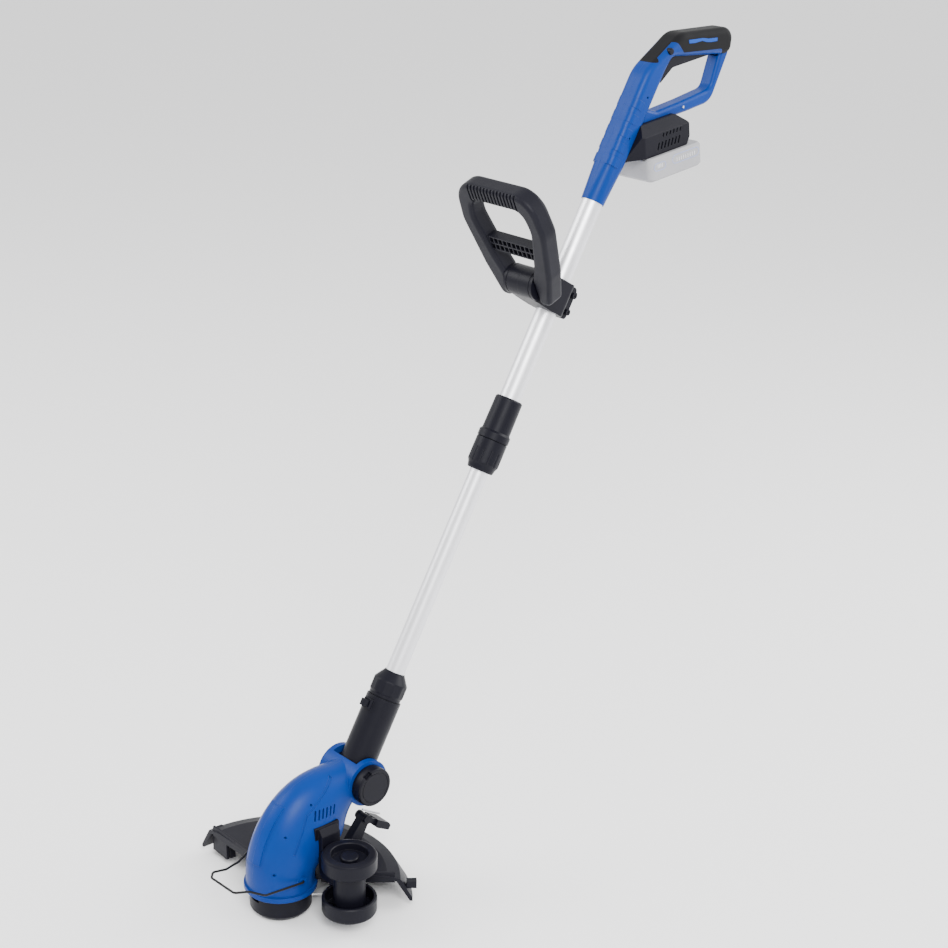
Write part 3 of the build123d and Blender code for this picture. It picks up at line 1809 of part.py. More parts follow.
export_step(debris_guard.part, "parts/debris_guard.step")

with BuildPart() as line_cutter_blade:
    with BuildSketch(ray_plane(guard_end - 5, 121, 24)):
        with Locations((2, -2)):
            Rectangle(1.5, 22)
    extrude(amount=22)
line_cutter_blade.part.label = "line_cutter_blade"
export_step(line_cutter_blade.part, "parts/line_cutter_blade.step")

# ------------------------------------------------------------------ tilt pedal
pedal_x = 122.0
pedal_z = 92.0
pedal_pin_r = 2.5
strut_low = guard_top + 5
with BuildPart() as pedal_strut:
    with BuildSketch(side_plane.offset(10)):
        with BuildLine():
            FilletPolyline(
                (pedal_x + 8, pedal_z),
                (pedal_x, pedal_z + 8),
                (pedal_x - 9, pedal_z - 2),
                (86, strut_low + 6),
                (84, strut_low),
                (108, strut_low),
                radius=[6, 6, 4, 4, 0, 0],
                close=True,
            )
        make_face()
    extrude(amount=12)
    add(cross_rod(pedal_x, pedal_z, pedal_pin_r, -26.5, -5.5))
pedal_strut.part.label = "pedal_strut"
export_step(pedal_strut.part, "parts/pedal_strut.step")

pedal_plane = Plane(
    origin=(pedal_x, 0, pedal_z), x_dir=(0.86, 0, -0.51), z_dir=(0, -1, 0)
)
with BuildPart() as tilt_pedal:
    for low in (5.7, 22.6):
        with BuildSketch(pedal_plane.offset(low)):
            Circle(6)
            with Locations((9, 0)):
                Rectangle(18, 7)
            Circle(pedal_pin_r + pin_slip, mode=Mode.SUBTRACT)
        extrude(amount=3.7)
    with BuildSketch(pedal_plane.offset(2)):
        with BuildLine():
            FilletPolyline(
                (14, -4), (18, -6.5), (40, -5.5), (40, 1), (36, 4), (14, 4),
                radius=[0, 2, 2, 2, 3, 0],
                close=True,
            )
        make_face()
    extrude(amount=28)
tilt_pedal.part.label = "tilt_pedal"
export_step(tilt_pedal.part, "parts/tilt_pedal.step")

with BuildPart() as pedal_wire:
    with BuildSketch(Plane(origin=(pedal_x - 2, -16, pedal_z + 12), z_dir=(0.86, 0, -0.51))):
        Circle(1.2)
    extrude(amount=34)
pedal_wire.part.label = "pedal_wire"
export_step(pedal_wire.part, "parts/pedal_wire.step")

# ------------------------------------------------------------------ plant guard wire
arm_y = boss_reach + 0.6 + wire_r
front_rise = 6.0
wire_points = [
    (0, -body_r - 1, wire_z - 2),
    (0, -arm_y, wire_z - 2),
    (-58, -arm_y + 3, wire_z + 1),
    (-70, -30, wire_z + 3),
    (-87, -22, wire_z + 4),
    (-89, 24, wire_z + 4),
    (-80, 34, wire_z + 3.5),
    (-62, 31, wire_z + 2),
    (-38, 38, wire_z),
    (-17, arm_y, wire_z - 1),
    (0, arm_y, wire_z - 2),
    (0, body_r + 1, wire_z - 2),
]
with BuildPart() as plant_guard_wire:
    with BuildLine() as wire_path:
        FilletPolyline(*wire_points, radius=[2.2, 5, 6, 5, 7, 6, 6, 8, 6, 2.2][:10])
    with BuildSketch(Plane(origin=wire_path.line @ 0, z_dir=wire_path.line % 0)):
        Circle(wire_r)
    sweep()
plant_guard_wire.part.label = "plant_guard_wire"
export_step(plant_guard_wire.part, "parts/plant_guard_wire.step")
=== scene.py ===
"""A cordless telescopic grass trimmer and lawn edger: finishes, fine detail, light and camera."""

import logging
from dataclasses import dataclass, field
from enum import Enum
from math import cos, pi, radians, sin

import bmesh
import bpy
from mathutils import Matrix, Vector


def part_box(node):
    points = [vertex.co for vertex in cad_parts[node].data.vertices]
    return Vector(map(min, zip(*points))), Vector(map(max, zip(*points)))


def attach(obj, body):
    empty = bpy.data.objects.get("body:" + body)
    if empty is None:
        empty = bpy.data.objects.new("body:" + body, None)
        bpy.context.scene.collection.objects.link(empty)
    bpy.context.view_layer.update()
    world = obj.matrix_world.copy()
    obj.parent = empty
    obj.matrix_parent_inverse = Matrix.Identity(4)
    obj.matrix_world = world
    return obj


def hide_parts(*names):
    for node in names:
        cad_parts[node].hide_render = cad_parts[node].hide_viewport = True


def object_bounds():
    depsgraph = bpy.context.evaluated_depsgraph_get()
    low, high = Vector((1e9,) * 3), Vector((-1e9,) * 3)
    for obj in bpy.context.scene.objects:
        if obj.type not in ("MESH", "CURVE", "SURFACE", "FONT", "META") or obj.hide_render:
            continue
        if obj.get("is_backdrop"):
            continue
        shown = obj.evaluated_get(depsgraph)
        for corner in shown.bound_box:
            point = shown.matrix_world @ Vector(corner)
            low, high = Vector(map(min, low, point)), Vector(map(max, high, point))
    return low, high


logging.basicConfig(level=logging.INFO, format="%(message)s")
log = logging.getLogger("edger")

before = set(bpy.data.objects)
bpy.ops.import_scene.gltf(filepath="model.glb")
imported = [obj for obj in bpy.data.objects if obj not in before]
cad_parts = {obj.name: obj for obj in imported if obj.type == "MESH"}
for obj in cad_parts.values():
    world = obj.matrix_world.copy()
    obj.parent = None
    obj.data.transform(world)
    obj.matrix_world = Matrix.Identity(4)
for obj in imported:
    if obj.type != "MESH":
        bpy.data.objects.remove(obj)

SHAFT_LEAN = radians(29.3)
PIVOT = Vector((0.116, 0.0, 0.151))
UP_SHAFT = Vector((sin(SHAFT_LEAN), 0.0, cos(SHAFT_LEAN)))
BACK_SHAFT = Vector((cos(SHAFT_LEAN), 0.0, -sin(SHAFT_LEAN)))


def on_shaft(up: float, back: float = 0.0, side: float = 0.0) -> Vector:
    """Point given by its place on the shaft.

    Args:
        up: distance up the shaft from the tilt pivot, in metres.
        back: distance to the rear of the shaft, square to it.
        side: distance to the user's right.

    Returns:
        The point in the row frame.
    """
    return PIVOT + up * UP_SHAFT + back * BACK_SHAFT + Vector((0.0, side, 0.0))


# --------------------------------------------------------------------------- finishes
CLOUD_SCALE, CLOUD_DETAIL = 14.0, 3.0  # slow change of colour, per metre
SCUFF_SCALE, SCUFF_DETAIL = 60.0, 6.0  # change of roughness
NOISE_ROUGHNESS = 0.6
ROUGH_SPREAD = 0.09
DARK_BELOW, LIGHT_ABOVE = 0.3, 0.7  # noise values between which the colour changes
SMOOTHEST = 0.05
EDGE_SAMPLES = 6
EDGE_RADIUS = 0.0007  # metres over which an edge looks rounded and gets its wear and painted highlight
EDGE_TURN = 0.8  # cosine between flat and rounded normal where an edge has its full wear and painted highlight
# lightening of edges: partly wear, partly a painted highlight
WEAR_SHEEN_LIFT, WEAR_SHEEN_GAIN = 0.08, 1.5
BUMP_STRENGTH = 0.55
DRAWN_STRETCH = 0.02  # how far a drawn tube's lines are stretched along the shaft


class Surface(Enum):
    """How a finish's surface is worked."""

    MOULDED = "moulded"
    RUBBER = "rubber"
    ANODISED = "anodised"
    PLATED = "plated"
    NYLON = "nylon"


SHADER_VALUES = {
    Surface.MOULDED: {"Metallic": 0.0, "Specular IOR Level": 0.12},
    Surface.RUBBER: {"Metallic": 0.0, "Specular IOR Level": 0.06, "Sheen Weight": 0.03},
    Surface.ANODISED: {"Metallic": 1.0},
    Surface.PLATED: {"Metallic": 1.0},
    Surface.NYLON: {
        "Metallic": 0.0,
        "Subsurface Weight": 0.35,
        "Subsurface Radius": (0.002, 0.002, 0.002),
        "Coat Weight": 0.3,
    },
}


@dataclass(frozen=True)
class Finish:
    """One material of the tool.

    Attributes:
        name: name of the material.
        surface: how the surface is worked.
        colour: linear base colour.
        rough: mean roughness.
        grain: grains of texture per metre.
        relief: height of the texture, in metres.
        shade: how far the colour varies, as a share.
        wear_and_sheen: how much lighter an edge is, as a share, partly from wear and partly from a
            painted highlight.
    """

    name: str
    surface: Surface
    colour: tuple[float, float, float]
    rough: float
    grain: float = 1800.0
    relief: float = 0.00004
    shade: float = 0.08
    wear_and_sheen: float = 0.25

    def build(self) -> bpy.types.Material:
        """Make the node tree.

        Returns:
            The finished material.
        """
        material = bpy.data.materials.new(self.name)
        material.use_nodes = True
        tree = material.node_tree
        shader = tree.nodes["Principled BSDF"]
        place = tree.nodes.new("ShaderNodeTexCoord").outputs["Object"]
        if self.surface is Surface.ANODISED:
            place = self._drawn(tree, place)

        cloud = self._noise(tree, place, CLOUD_SCALE, CLOUD_DETAIL)
        tone = self._tone(tree, cloud)
        bevel = tree.nodes.new("ShaderNodeBevel")
        bevel.samples = EDGE_SAMPLES
        bevel.inputs["Radius"].default_value = EDGE_RADIUS
        # base colour lighter at edges: partly wear, partly a painted highlight
        tree.links.new(self._edges(tree, tone, bevel), shader.inputs["Base Color"])

        scuff = self._noise(tree, place, SCUFF_SCALE, SCUFF_DETAIL)
        span = tree.nodes.new("ShaderNodeMapRange")
        span.inputs["To Min"].default_value = max(SMOOTHEST, self.rough - ROUGH_SPREAD)
        span.inputs["To Max"].default_value = min(1.0, self.rough + ROUGH_SPREAD)
        tree.links.new(scuff, span.inputs["Value"])
        tree.links.new(span.outputs["Result"], shader.inputs["Roughness"])

        bump = tree.nodes.new("ShaderNodeBump")
        bump.inputs["Strength"].default_value = BUMP_STRENGTH
        bump.inputs["Distance"].default_value = self.relief
        tree.links.new(self._relief(tree, place), bump.inputs["Height"])
        tree.links.new(bevel.outputs["Normal"], bump.inputs["Normal"])
        tree.links.new(bump.outputs["Normal"], shader.inputs["Normal"])

        for socket, value in SHADER_VALUES[self.surface].items():
            shader.inputs[socket].default_value = value
        material.diffuse_color = (*self.colour, 1.0)
        return material

    def _drawn(self, tree: bpy.types.NodeTree, place: bpy.types.NodeSocket) -> bpy.types.NodeSocket:
        """Coordinates drawn out along the shaft, so that noise makes fine lines.

        Args:
            tree: the material's tree.
            place: object coordinates.

        Returns:
            The stretched coordinates.
        """
        mapping = tree.nodes.new("ShaderNodeMapping")
        mapping.inputs["Rotation"].default_value = (0.0, -SHAFT_LEAN, 0.0)
        mapping.inputs["Scale"].default_value = (1.0, 1.0, DRAWN_STRETCH)
        tree.links.new(place, mapping.inputs["Vector"])
        return mapping.outputs["Vector"]

    def _noise(
        self, tree: bpy.types.NodeTree, place: bpy.types.NodeSocket, scale: float, detail: float
    ) -> bpy.types.NodeSocket:
        """A noise texture.

        Args:
            tree: the material's tree.
            place: coordinates.
            scale: noise scale per metre.
            detail: octaves.

        Returns:
            The noise value.
        """
        noise = tree.nodes.new("ShaderNodeTexNoise")
        noise.inputs["Scale"].default_value = scale
        noise.inputs["Detail"].default_value = detail
        noise.inputs["Roughness"].default_value = NOISE_ROUGHNESS
        tree.links.new(place, noise.inputs["Vector"])
        return noise.outputs["Fac"]

    def _tone(self, tree: bpy.types.NodeTree, cloud: bpy.types.NodeSocket) -> bpy.types.NodeSocket:
        """The colour, a little lighter and darker from place to place.

        Args:
            tree: the material's tree.
            cloud: a slow noise.

        Returns:
            The colour.
        """
        ramp = tree.nodes.new("ShaderNodeValToRGB")
        low, high = ramp.color_ramp.elements
        low.position, high.position = DARK_BELOW, LIGHT_ABOVE
        low.color = (*[part * (1 - self.shade) for part in self.colour], 1.0)
        high.color = (*[min(1.0, part * (1 + self.shade)) for part in self.colour], 1.0)
        tree.links.new(cloud, ramp.inputs["Fac"])
        return ramp.outputs["Color"]

    def _edges(
        self, tree: bpy.types.NodeTree, tone: bpy.types.NodeSocket, bevel: bpy.types.Node
    ) -> bpy.types.NodeSocket:
        """The colour, lighter along its edges, partly from wear and partly from a painted highlight.

        Args:
            tree: the material's tree.
            tone: the colour away from edges.
            bevel: the node that rounds the normal at edges.

        Returns:
            The colour.
        """
        surface = tree.nodes.new("ShaderNodeNewGeometry")
        level = tree.nodes.new("ShaderNodeVectorMath")
        level.operation = "DOT_PRODUCT"
        tree.links.new(surface.outputs["Normal"], level.inputs[0])
        tree.links.new(bevel.outputs["Normal"], level.inputs[1])
        # mask of edges, painted lighter for wear and a painted highlight
        wear_sheen_mask = tree.nodes.new("ShaderNodeMapRange")
        wear_sheen_mask.inputs["From Min"].default_value = 1.0
        wear_sheen_mask.inputs["From Max"].default_value = EDGE_TURN
        wear_sheen_mask.inputs["To Max"].default_value = self.wear_and_sheen
        tree.links.new(level.outputs["Value"], wear_sheen_mask.inputs["Value"])
        lighter = [min(1.0, WEAR_SHEEN_LIFT + WEAR_SHEEN_GAIN * part) for part in self.colour]
        mix = tree.nodes.new("ShaderNodeMix")
        mix.data_type = "RGBA"
        factor, first_colour, second_colour = mix.inputs[0], mix.inputs[6], mix.inputs[7]
        second_colour.default_value = (*lighter, 1.0)
        tree.links.new(wear_sheen_mask.outputs["Result"], factor)
        tree.links.new(tone, first_colour)
        return mix.outputs[2]

    def _relief(self, tree: bpy.types.NodeTree, place: bpy.types.NodeSocket) -> bpy.types.NodeSocket:
        """Height of the fine texture.

        Args:
            tree: the material's tree.
            place: coordinates.

        Returns:
            The height.
        """
        if self.surface in (Surface.MOULDED, Surface.RUBBER):
            cells = tree.nodes.new("ShaderNodeTexVoronoi")
            cells.inputs["Scale"].default_value = self.grain
            tree.links.new(place, cells.inputs["Vector"])
            return cells.outputs["Distance"]
        return self._noise(tree, place, self.grain, 2.0)


FINISHES = {
    "blue": Finish("blue_plastic", Surface.MOULDED, (0.0001, 0.025, 0.17), 0.36, shade=0.05, wear_and_sheen=0.12),
    "black": Finish(
        "black_plastic", Surface.MOULDED, (0.004, 0.004, 0.0075), 0.4, grain=1500.0, wear_and_sheen=0.12
    ),
    "charcoal": Finish(
        "charcoal_plastic", Surface.MOULDED, (0.006, 0.006, 0.010), 0.46, relief=0.00006, wear_and_sheen=0.12
    ),
    "rubber": Finish("grip_rubber", Surface.RUBBER, (0.006, 0.006, 0.007), 0.6, grain=2400.0, wear_and_sheen=0.08),
    "tube": Finish("satin_tube", Surface.ANODISED, (0.78, 0.78, 0.81), 0.42, grain=900.0, shade=0.03),
    "steel": Finish("zinc_steel", Surface.PLATED, (0.56, 0.57, 0.6), 0.3, grain=700.0),
    "blade": Finish("blade_steel", Surface.PLATED, (0.33, 0.33, 0.34), 0.4, grain=900.0),
    "wire": Finish("coated_wire", Surface.MOULDED, (0.008, 0.008, 0.009), 0.33, relief=0.00002),
    "inlay": Finish("blue_inlay", Surface.MOULDED, (0.002, 0.05, 0.3), 0.4, shade=0.05, wear_and_sheen=0.1),
    "print": Finish("pale_blue_print", Surface.MOULDED, (0.3, 0.34, 0.55), 0.5, shade=0.05, wear_and_sheen=0.0),
    "mark": Finish("white_print", Surface.MOULDED, (0.75, 0.75, 0.76), 0.5, shade=0.04, wear_and_sheen=0.0),
    "contact": Finish("contact_metal", Surface.PLATED, (0.75, 0.5, 0.25), 0.28),
    "pack": Finish("pack_plastic", Surface.MOULDED, (0.3, 0.3, 0.315), 0.38, grain=1400.0, shade=0.04),
    "cells": Finish("cell_wrap", Surface.NYLON, (0.05, 0.25, 0.12), 0.3),
    "lead": Finish("lead_jacket", Surface.RUBBER, (0.014, 0.014, 0.015), 0.55),
    "line": Finish("nylon_line", Surface.NYLON, (0.82, 0.83, 0.82), 0.25, shade=0.03, relief=0.00001),
    "acetal": Finish("white_acetal", Surface.NYLON, (0.72, 0.72, 0.69), 0.35, shade=0.03),
}

NODE_FINISH = {
    "blue": "rear_handle_left_shell rear_handle_right_shell head_shell_left head_shell_right",
    "black": (
        "lock_off_button battery_bay switch_body trigger telescope_collet telescope_nut"
        " telescope_sleeve neck_nut neck_sleeve rotation_lock_button aux_clamp_left aux_clamp_right"
        " tilt_knob wheel_bracket"
        " pedal_strut tilt_pedal upper_edge_wheel lower_edge_wheel wheel_cap spool_carrier line_reel"
        " spool_cap aux_clamp_screws"
    ),
    "charcoal": "debris_guard aux_handle_loop",
    "rubber": "grip_overmould",
    "tube": "upper_tube lower_tube",
    "steel": (
        "handle_screws trigger_pin trigger_spring aux_pivot_bolt head_screws"
        " pivot_bolt motor_can motor_rotor wheel_axle reel_spring line_eyelets pedal_wire"
    ),
    "blade": "line_cutter_blade",
    "wire": "plant_guard_wire",
    "contact": "battery_terminals",
    "pack": "battery_case_lower battery_case_upper battery_release_button",
    "cells": "battery_cells",
    "lead": "handle_lead coiled_lead tube_lead head_lead",
    "line": "wound_line cutting_line",
    "acetal": "tube_guide_bush cooling_fan",
}


class Paint:
    """Keeps one material of each finish and gives it to nodes and pieces."""

    def __init__(self) -> None:
        """Start with no material made."""
        self.made: dict[str, bpy.types.Material] = {}

    def of(self, key: str) -> bpy.types.Material:
        """The material of a finish.

        Args:
            key: the finish's key.

        Returns:
            The material, made on first use.
        """
        if key not in self.made:
            self.made[key] = FINISHES[key].build()
        return self.made[key]

    def frame_nodes(self) -> None:
        """Give every CAD node its finish."""
        for key, names in NODE_FINISH.items():
            for name in names.split():
                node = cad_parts[name]
                node.data.materials.clear()
                node.data.materials.append(self.of(key))
        log.info("finished %d frame nodes", len(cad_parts))


# --------------------------------------------------------------------------- cutting line
@dataclass
class CuttingLine:
    """The free end of the nylon line, from its eyelet outwards.

    Attributes:
        length: length of the free end, in metres.
        thickness: its diameter.
        eyelet_angle: where the eyelet stands round the spool.
        route: its points, as distance from the spool's axis, distance aside, and height.
    """
    # length: length of the free end, in metres; not used.

    length: float = 0.0751
    thickness: float = 0.0016
    eyelet_angle: float = radians(-33.0)
    route: tuple[tuple[float, float, float], ...] = (
        (0.0409, 0.0, 0.014),
        (0.062, 0.0004, 0.0139),
        (0.084, 0.0022, 0.0133),
        (0.103, 0.0056, 0.012),
        (0.115, 0.0092, 0.0106),
    )

    def build(self, paint: Paint) -> None:
        """Args:
            paint: the finishes.
        """
        turn_x, turn_y = cos(self.eyelet_angle), sin(self.eyelet_angle)
        points = [
            (out * turn_x - side * turn_y, out * turn_y + side * turn_x, height)
            for out, side, height in self.route
        ]
        data = bpy.data.curves.new("free_line", "CURVE")
        data.dimensions = "3D"
        data.bevel_depth = self.thickness / 2
        data.bevel_resolution = 5
        data.use_fill_caps = True
        spline = data.splines.new("NURBS")
        spline.points.add(len(points) - 1)
        for point, place in zip(spline.points, points):
            point.co = (*place, 1.0)
        spline.order_u = 3
        spline.use_endpoint_u = True
        spline.resolution_u = 10
        piece = bpy.data.objects.new("free_line", data)
        bpy.context.scene.collection.objects.link(piece)
        data.materials.append(paint.of("line"))
        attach(piece, "spool_head")
        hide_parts("cutting_line")
        log.info("free line made")


# --------------------------------------------------------------------------- repeated features
BAR_SIDES = 14
ROUND_STEPS = 12  # straight parts of a half circle


class RowKind(Enum):
    """How a repeated feature is laid out."""

    RING = "ring"
    LINE = "line"


@dataclass
class RepeatedBars:
    """Equal small round bars in a ring or a line, made with one node group.

    Attributes:
        name: name of the piece.
        kind: ring or line.
        count: number of bars.
        span: ring radius, or length of the line, in metres.
        thick: radius of each bar.
        length: length of each bar.
        place: matrix from the feature's own frame to the row frame.
    """

    name: str
    kind: RowKind
    count: int
    span: float
    thick: float
    length: float
    place: Matrix

    def group(self) -> bpy.types.GeometryNodeTree:
        """Make the node group.

        Returns:
            The group, with inputs Count, Span, Bar Radius, Bar Length and Finish.
        """
        tree = bpy.data.node_groups.new(f"{self.name}_{self.kind.value}", "GeometryNodeTree")
        for label, kind in (
            ("Count", "NodeSocketInt"),
            ("Span", "NodeSocketFloat"),
            ("Bar Radius", "NodeSocketFloat"),
            ("Bar Length", "NodeSocketFloat"),
            ("Finish", "NodeSocketMaterial"),
        ):
            tree.interface.new_socket(label, in_out="INPUT", socket_type=kind)
        tree.interface.new_socket("Geometry", in_out="OUTPUT", socket_type="NodeSocketGeometry")
        given = tree.nodes.new("NodeGroupInput")
        bar = tree.nodes.new("GeometryNodeMeshCylinder")
        bar.inputs["Vertices"].default_value = BAR_SIDES
        tree.links.new(given.outputs["Bar Radius"], bar.inputs["Radius"])
        tree.links.new(given.outputs["Bar Length"], bar.inputs["Depth"])
        if self.kind is RowKind.RING:
            points = tree.nodes.new("GeometryNodeMeshCircle")
            tree.links.new(given.outputs["Count"], points.inputs["Vertices"])
            tree.links.new(given.outputs["Span"], points.inputs["Radius"])
        else:
            points = tree.nodes.new("GeometryNodeMeshLine")
            points.mode = "END_POINTS"
            reach = tree.nodes.new("ShaderNodeCombineXYZ")
            tree.links.new(given.outputs["Span"], reach.inputs["X"])
            tree.links.new(given.outputs["Count"], points.inputs["Count"])
            tree.links.new(reach.outputs["Vector"], points.inputs["Offset"])
        scatter = tree.nodes.new("GeometryNodeInstanceOnPoints")
        tree.links.new(points.outputs["Mesh"], scatter.inputs["Points"])
        tree.links.new(bar.outputs["Mesh"], scatter.inputs["Instance"])
        real = tree.nodes.new("GeometryNodeRealizeInstances")
        tree.links.new(scatter.outputs["Instances"], real.inputs["Geometry"])
        finish = tree.nodes.new("GeometryNodeSetMaterial")
        tree.links.new(real.outputs["Geometry"], finish.inputs["Geometry"])
        tree.links.new(given.outputs["Finish"], finish.inputs["Material"])
        result = tree.nodes.new("NodeGroupOutput")
        tree.links.new(finish.outputs["Geometry"], result.inputs["Geometry"])
        return tree

    def mesh(self, material: bpy.types.Material) -> bpy.types.Mesh:
        """Run the group and keep its result as a plain mesh in the row frame.

        Args:
            material: the bars' material.

        Returns:
            The mesh.
        """
        tree = self.group()
        holder = bpy.data.objects.new(f"{self.name}_maker", bpy.data.meshes.new(f"{self.name}_seed"))
        bpy.context.scene.collection.objects.link(holder)
        modifier = holder.modifiers.new("bars", "NODES")
        modifier.node_group = tree
        values = {
            "Count": self.count,
            "Span": self.span,
            "Bar Radius": self.thick,
            "Bar Length": self.length,
            "Finish": material,
        }
        for item in tree.interface.items_tree:
            if item.item_type == "SOCKET" and item.in_out == "INPUT":
                modifier[item.identifier] = values[item.name]
        bpy.context.view_layer.update()
        seen = holder.evaluated_get(bpy.context.evaluated_depsgraph_get())
        mesh = bpy.data.meshes.new_from_object(seen)
        bpy.data.objects.remove(holder, do_unlink=True)
        mesh.transform(self.place)
        mesh.name = self.name
        return mesh


def settle(name: str, mesh: bpy.types.Mesh, body: str, material: bpy.types.Material) -> None:
    """Put a finished mesh in the scene, riding on a body.

    Args:
        name: name of the piece.
        mesh: the mesh, in the row frame.
        body: the CAD body that carries it.
        material: its material.
    """
    shape = bmesh.new()
    shape.from_mesh(mesh)
    bmesh.ops.recalc_face_normals(shape, faces=shape.faces)
    shape.to_mesh(mesh)
    shape.free()
    mesh.materials.clear()
    mesh.materials.append(material)
    piece = bpy.data.objects.new(name, mesh)
    bpy.context.scene.collection.objects.link(piece)
    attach(piece, body)
    log.info("%s rides on %s", name, body)


def axes_matrix(along: Vector, across: Vector, out: Vector, origin: Vector) -> Matrix:
    """Matrix whose columns are three directions and a place.

    Args:
        along: first direction.
        across: second direction.
        out: third direction.
        origin: where the frame stands.

    Returns:
        The 4 by 4 matrix.
    """
    turn = Matrix((along, across, out)).transposed().to_4x4()
    return Matrix.Translation(origin) @ turn


def flat_prism(
    outline: tuple[tuple[float, float], ...], thick: float, place: Matrix
) -> bpy.types.Mesh:
    """A thin plate of any outline.

    Args:
        outline: corners in the plate's own plane.
        thick: thickness.
        place: matrix to the row frame.

    Returns:
        The mesh.
    """
    mesh = bpy.data.meshes.new("plate")
    shape = bmesh.new()
    low = [shape.verts.new((x, y, 0.0)) for x, y in outline]
    high = [shape.verts.new((x, y, thick)) for x, y in outline]
    shape.faces.new(low[::-1])
    shape.faces.new(high)
    for here in range(len(outline)):
        after = (here + 1) % len(outline)
        shape.faces.new((low[here], low[after], high[after], high[here]))
    bmesh.ops.transform(shape, matrix=place, verts=shape.verts)
    shape.to_mesh(mesh)
    shape.free()
    return mesh


def round_end(centre: float, middle: float, radius: float, start: float) -> list[tuple[float, float]]:
    """Half circle, turned counter-clockwise.

    Args:
        centre: where its centre stands along the outline.
        middle: height of its centre.
        radius: its radius.
        start: angle at which it begins.

    Returns:
        Its points.
    """
    turns = [start + pi * step / ROUND_STEPS for step in range(ROUND_STEPS + 1)]
    return [(centre + radius * cos(turn), middle + radius * sin(turn)) for turn in turns]


def stadium(low_x: float, high_x: float, middle: float, radius: float) -> list[tuple[float, float]]:
    """Outline of a straight slot with round ends.

    Args:
        low_x: its left end.
        high_x: its right end.
        middle: height of its middle line.
        radius: half its height.

    Returns:
        The corners, counter-clockwise.
    """
    right = round_end(high_x - radius, middle, radius, -pi / 2)
    left = round_end(low_x + radius, middle, radius, pi / 2)
    return right + left


def band(
    outer: list[tuple[float, float]], inner: list[tuple[float, float]], thick: float, place: Matrix
) -> bpy.types.Mesh:
    """A thin closed ring between two outlines with the same number of corners.

    Args:
        outer: outer corners.
        inner: inner corners.
        thick: thickness.
        place: matrix to the row frame.

    Returns:
        The mesh.
    """
    mesh = bpy.data.meshes.new("band")
    shape = bmesh.new()
    rings = [
        [shape.verts.new((x, y, height)) for x, y in corners]
        for corners, height in ((outer, 0.0), (outer, thick), (inner, thick), (inner, 0.0))
    ]
    for ring, following in zip(rings, rings[1:] + rings[:1]):
        for here in range(len(ring)):
            after = (here + 1) % len(ring)
            shape.faces.new((ring[here], ring[after], following[after], following[here]))
    bmesh.ops.transform(shape, matrix=place, verts=shape.verts)
    shape.to_mesh(mesh)
    shape.free()
    return mesh


# --------------------------------------------------------------------------- trim
NEAR_SIDE = Vector((0.0, -1.0, 0.0))


@dataclass
class GripInlay:
    """Blue zigzag let into the near side of the soft grip.

    Attributes:
        thick: thickness of the inlay.
        sunk: how far its back lies under the grip's side.
        outline: its corners, back to the user and up.
    """

    thick: float = 0.00036
    sunk: float = 0.00008
    outline: tuple[tuple[float, float], ...] = (
        (0.6583, 1.0460),
        (0.6690, 1.0459),
        (0.6830, 1.0478),
        (0.6912, 1.0457),
        (0.7011, 1.0449),
        (0.7130, 1.0455),
        (0.7133, 1.0498),
        (0.6952, 1.0497),
        (0.6882, 1.0508),
        (0.6830, 1.0512),
        (0.6685, 1.0508),
        (0.6570, 1.0506),
    )

    def build(self, paint: Paint) -> None:
        """Make the inlay.

        Args:
            paint: the finishes.
        """
        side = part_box("grip_overmould")[0].y + self.sunk
        place = axes_matrix(Vector((1, 0, 0)), Vector((0, 0, 1)), NEAR_SIDE, Vector((0, side, 0)))
        settle("grip_inlay", flat_prism(self.outline, self.thick, place), "handle", paint.of("inlay"))


@dataclass(frozen=True)
class PackField:
    """One outlined field with its row of bars.

    Attributes:
        end: which end of the pack it is at.
        low_x: its left end along the pack.
        high_x: its right end.
        middle: height of its middle line.
        radius: half its height.
        bars_start: where its first bar stands.
        bars: number of bars.
        bars_span: length of the row of bars.
    """

    end: str
    low_x: float
    high_x: float
    middle: float
    radius: float
    bars_start: float
    bars: int
    bars_span: float


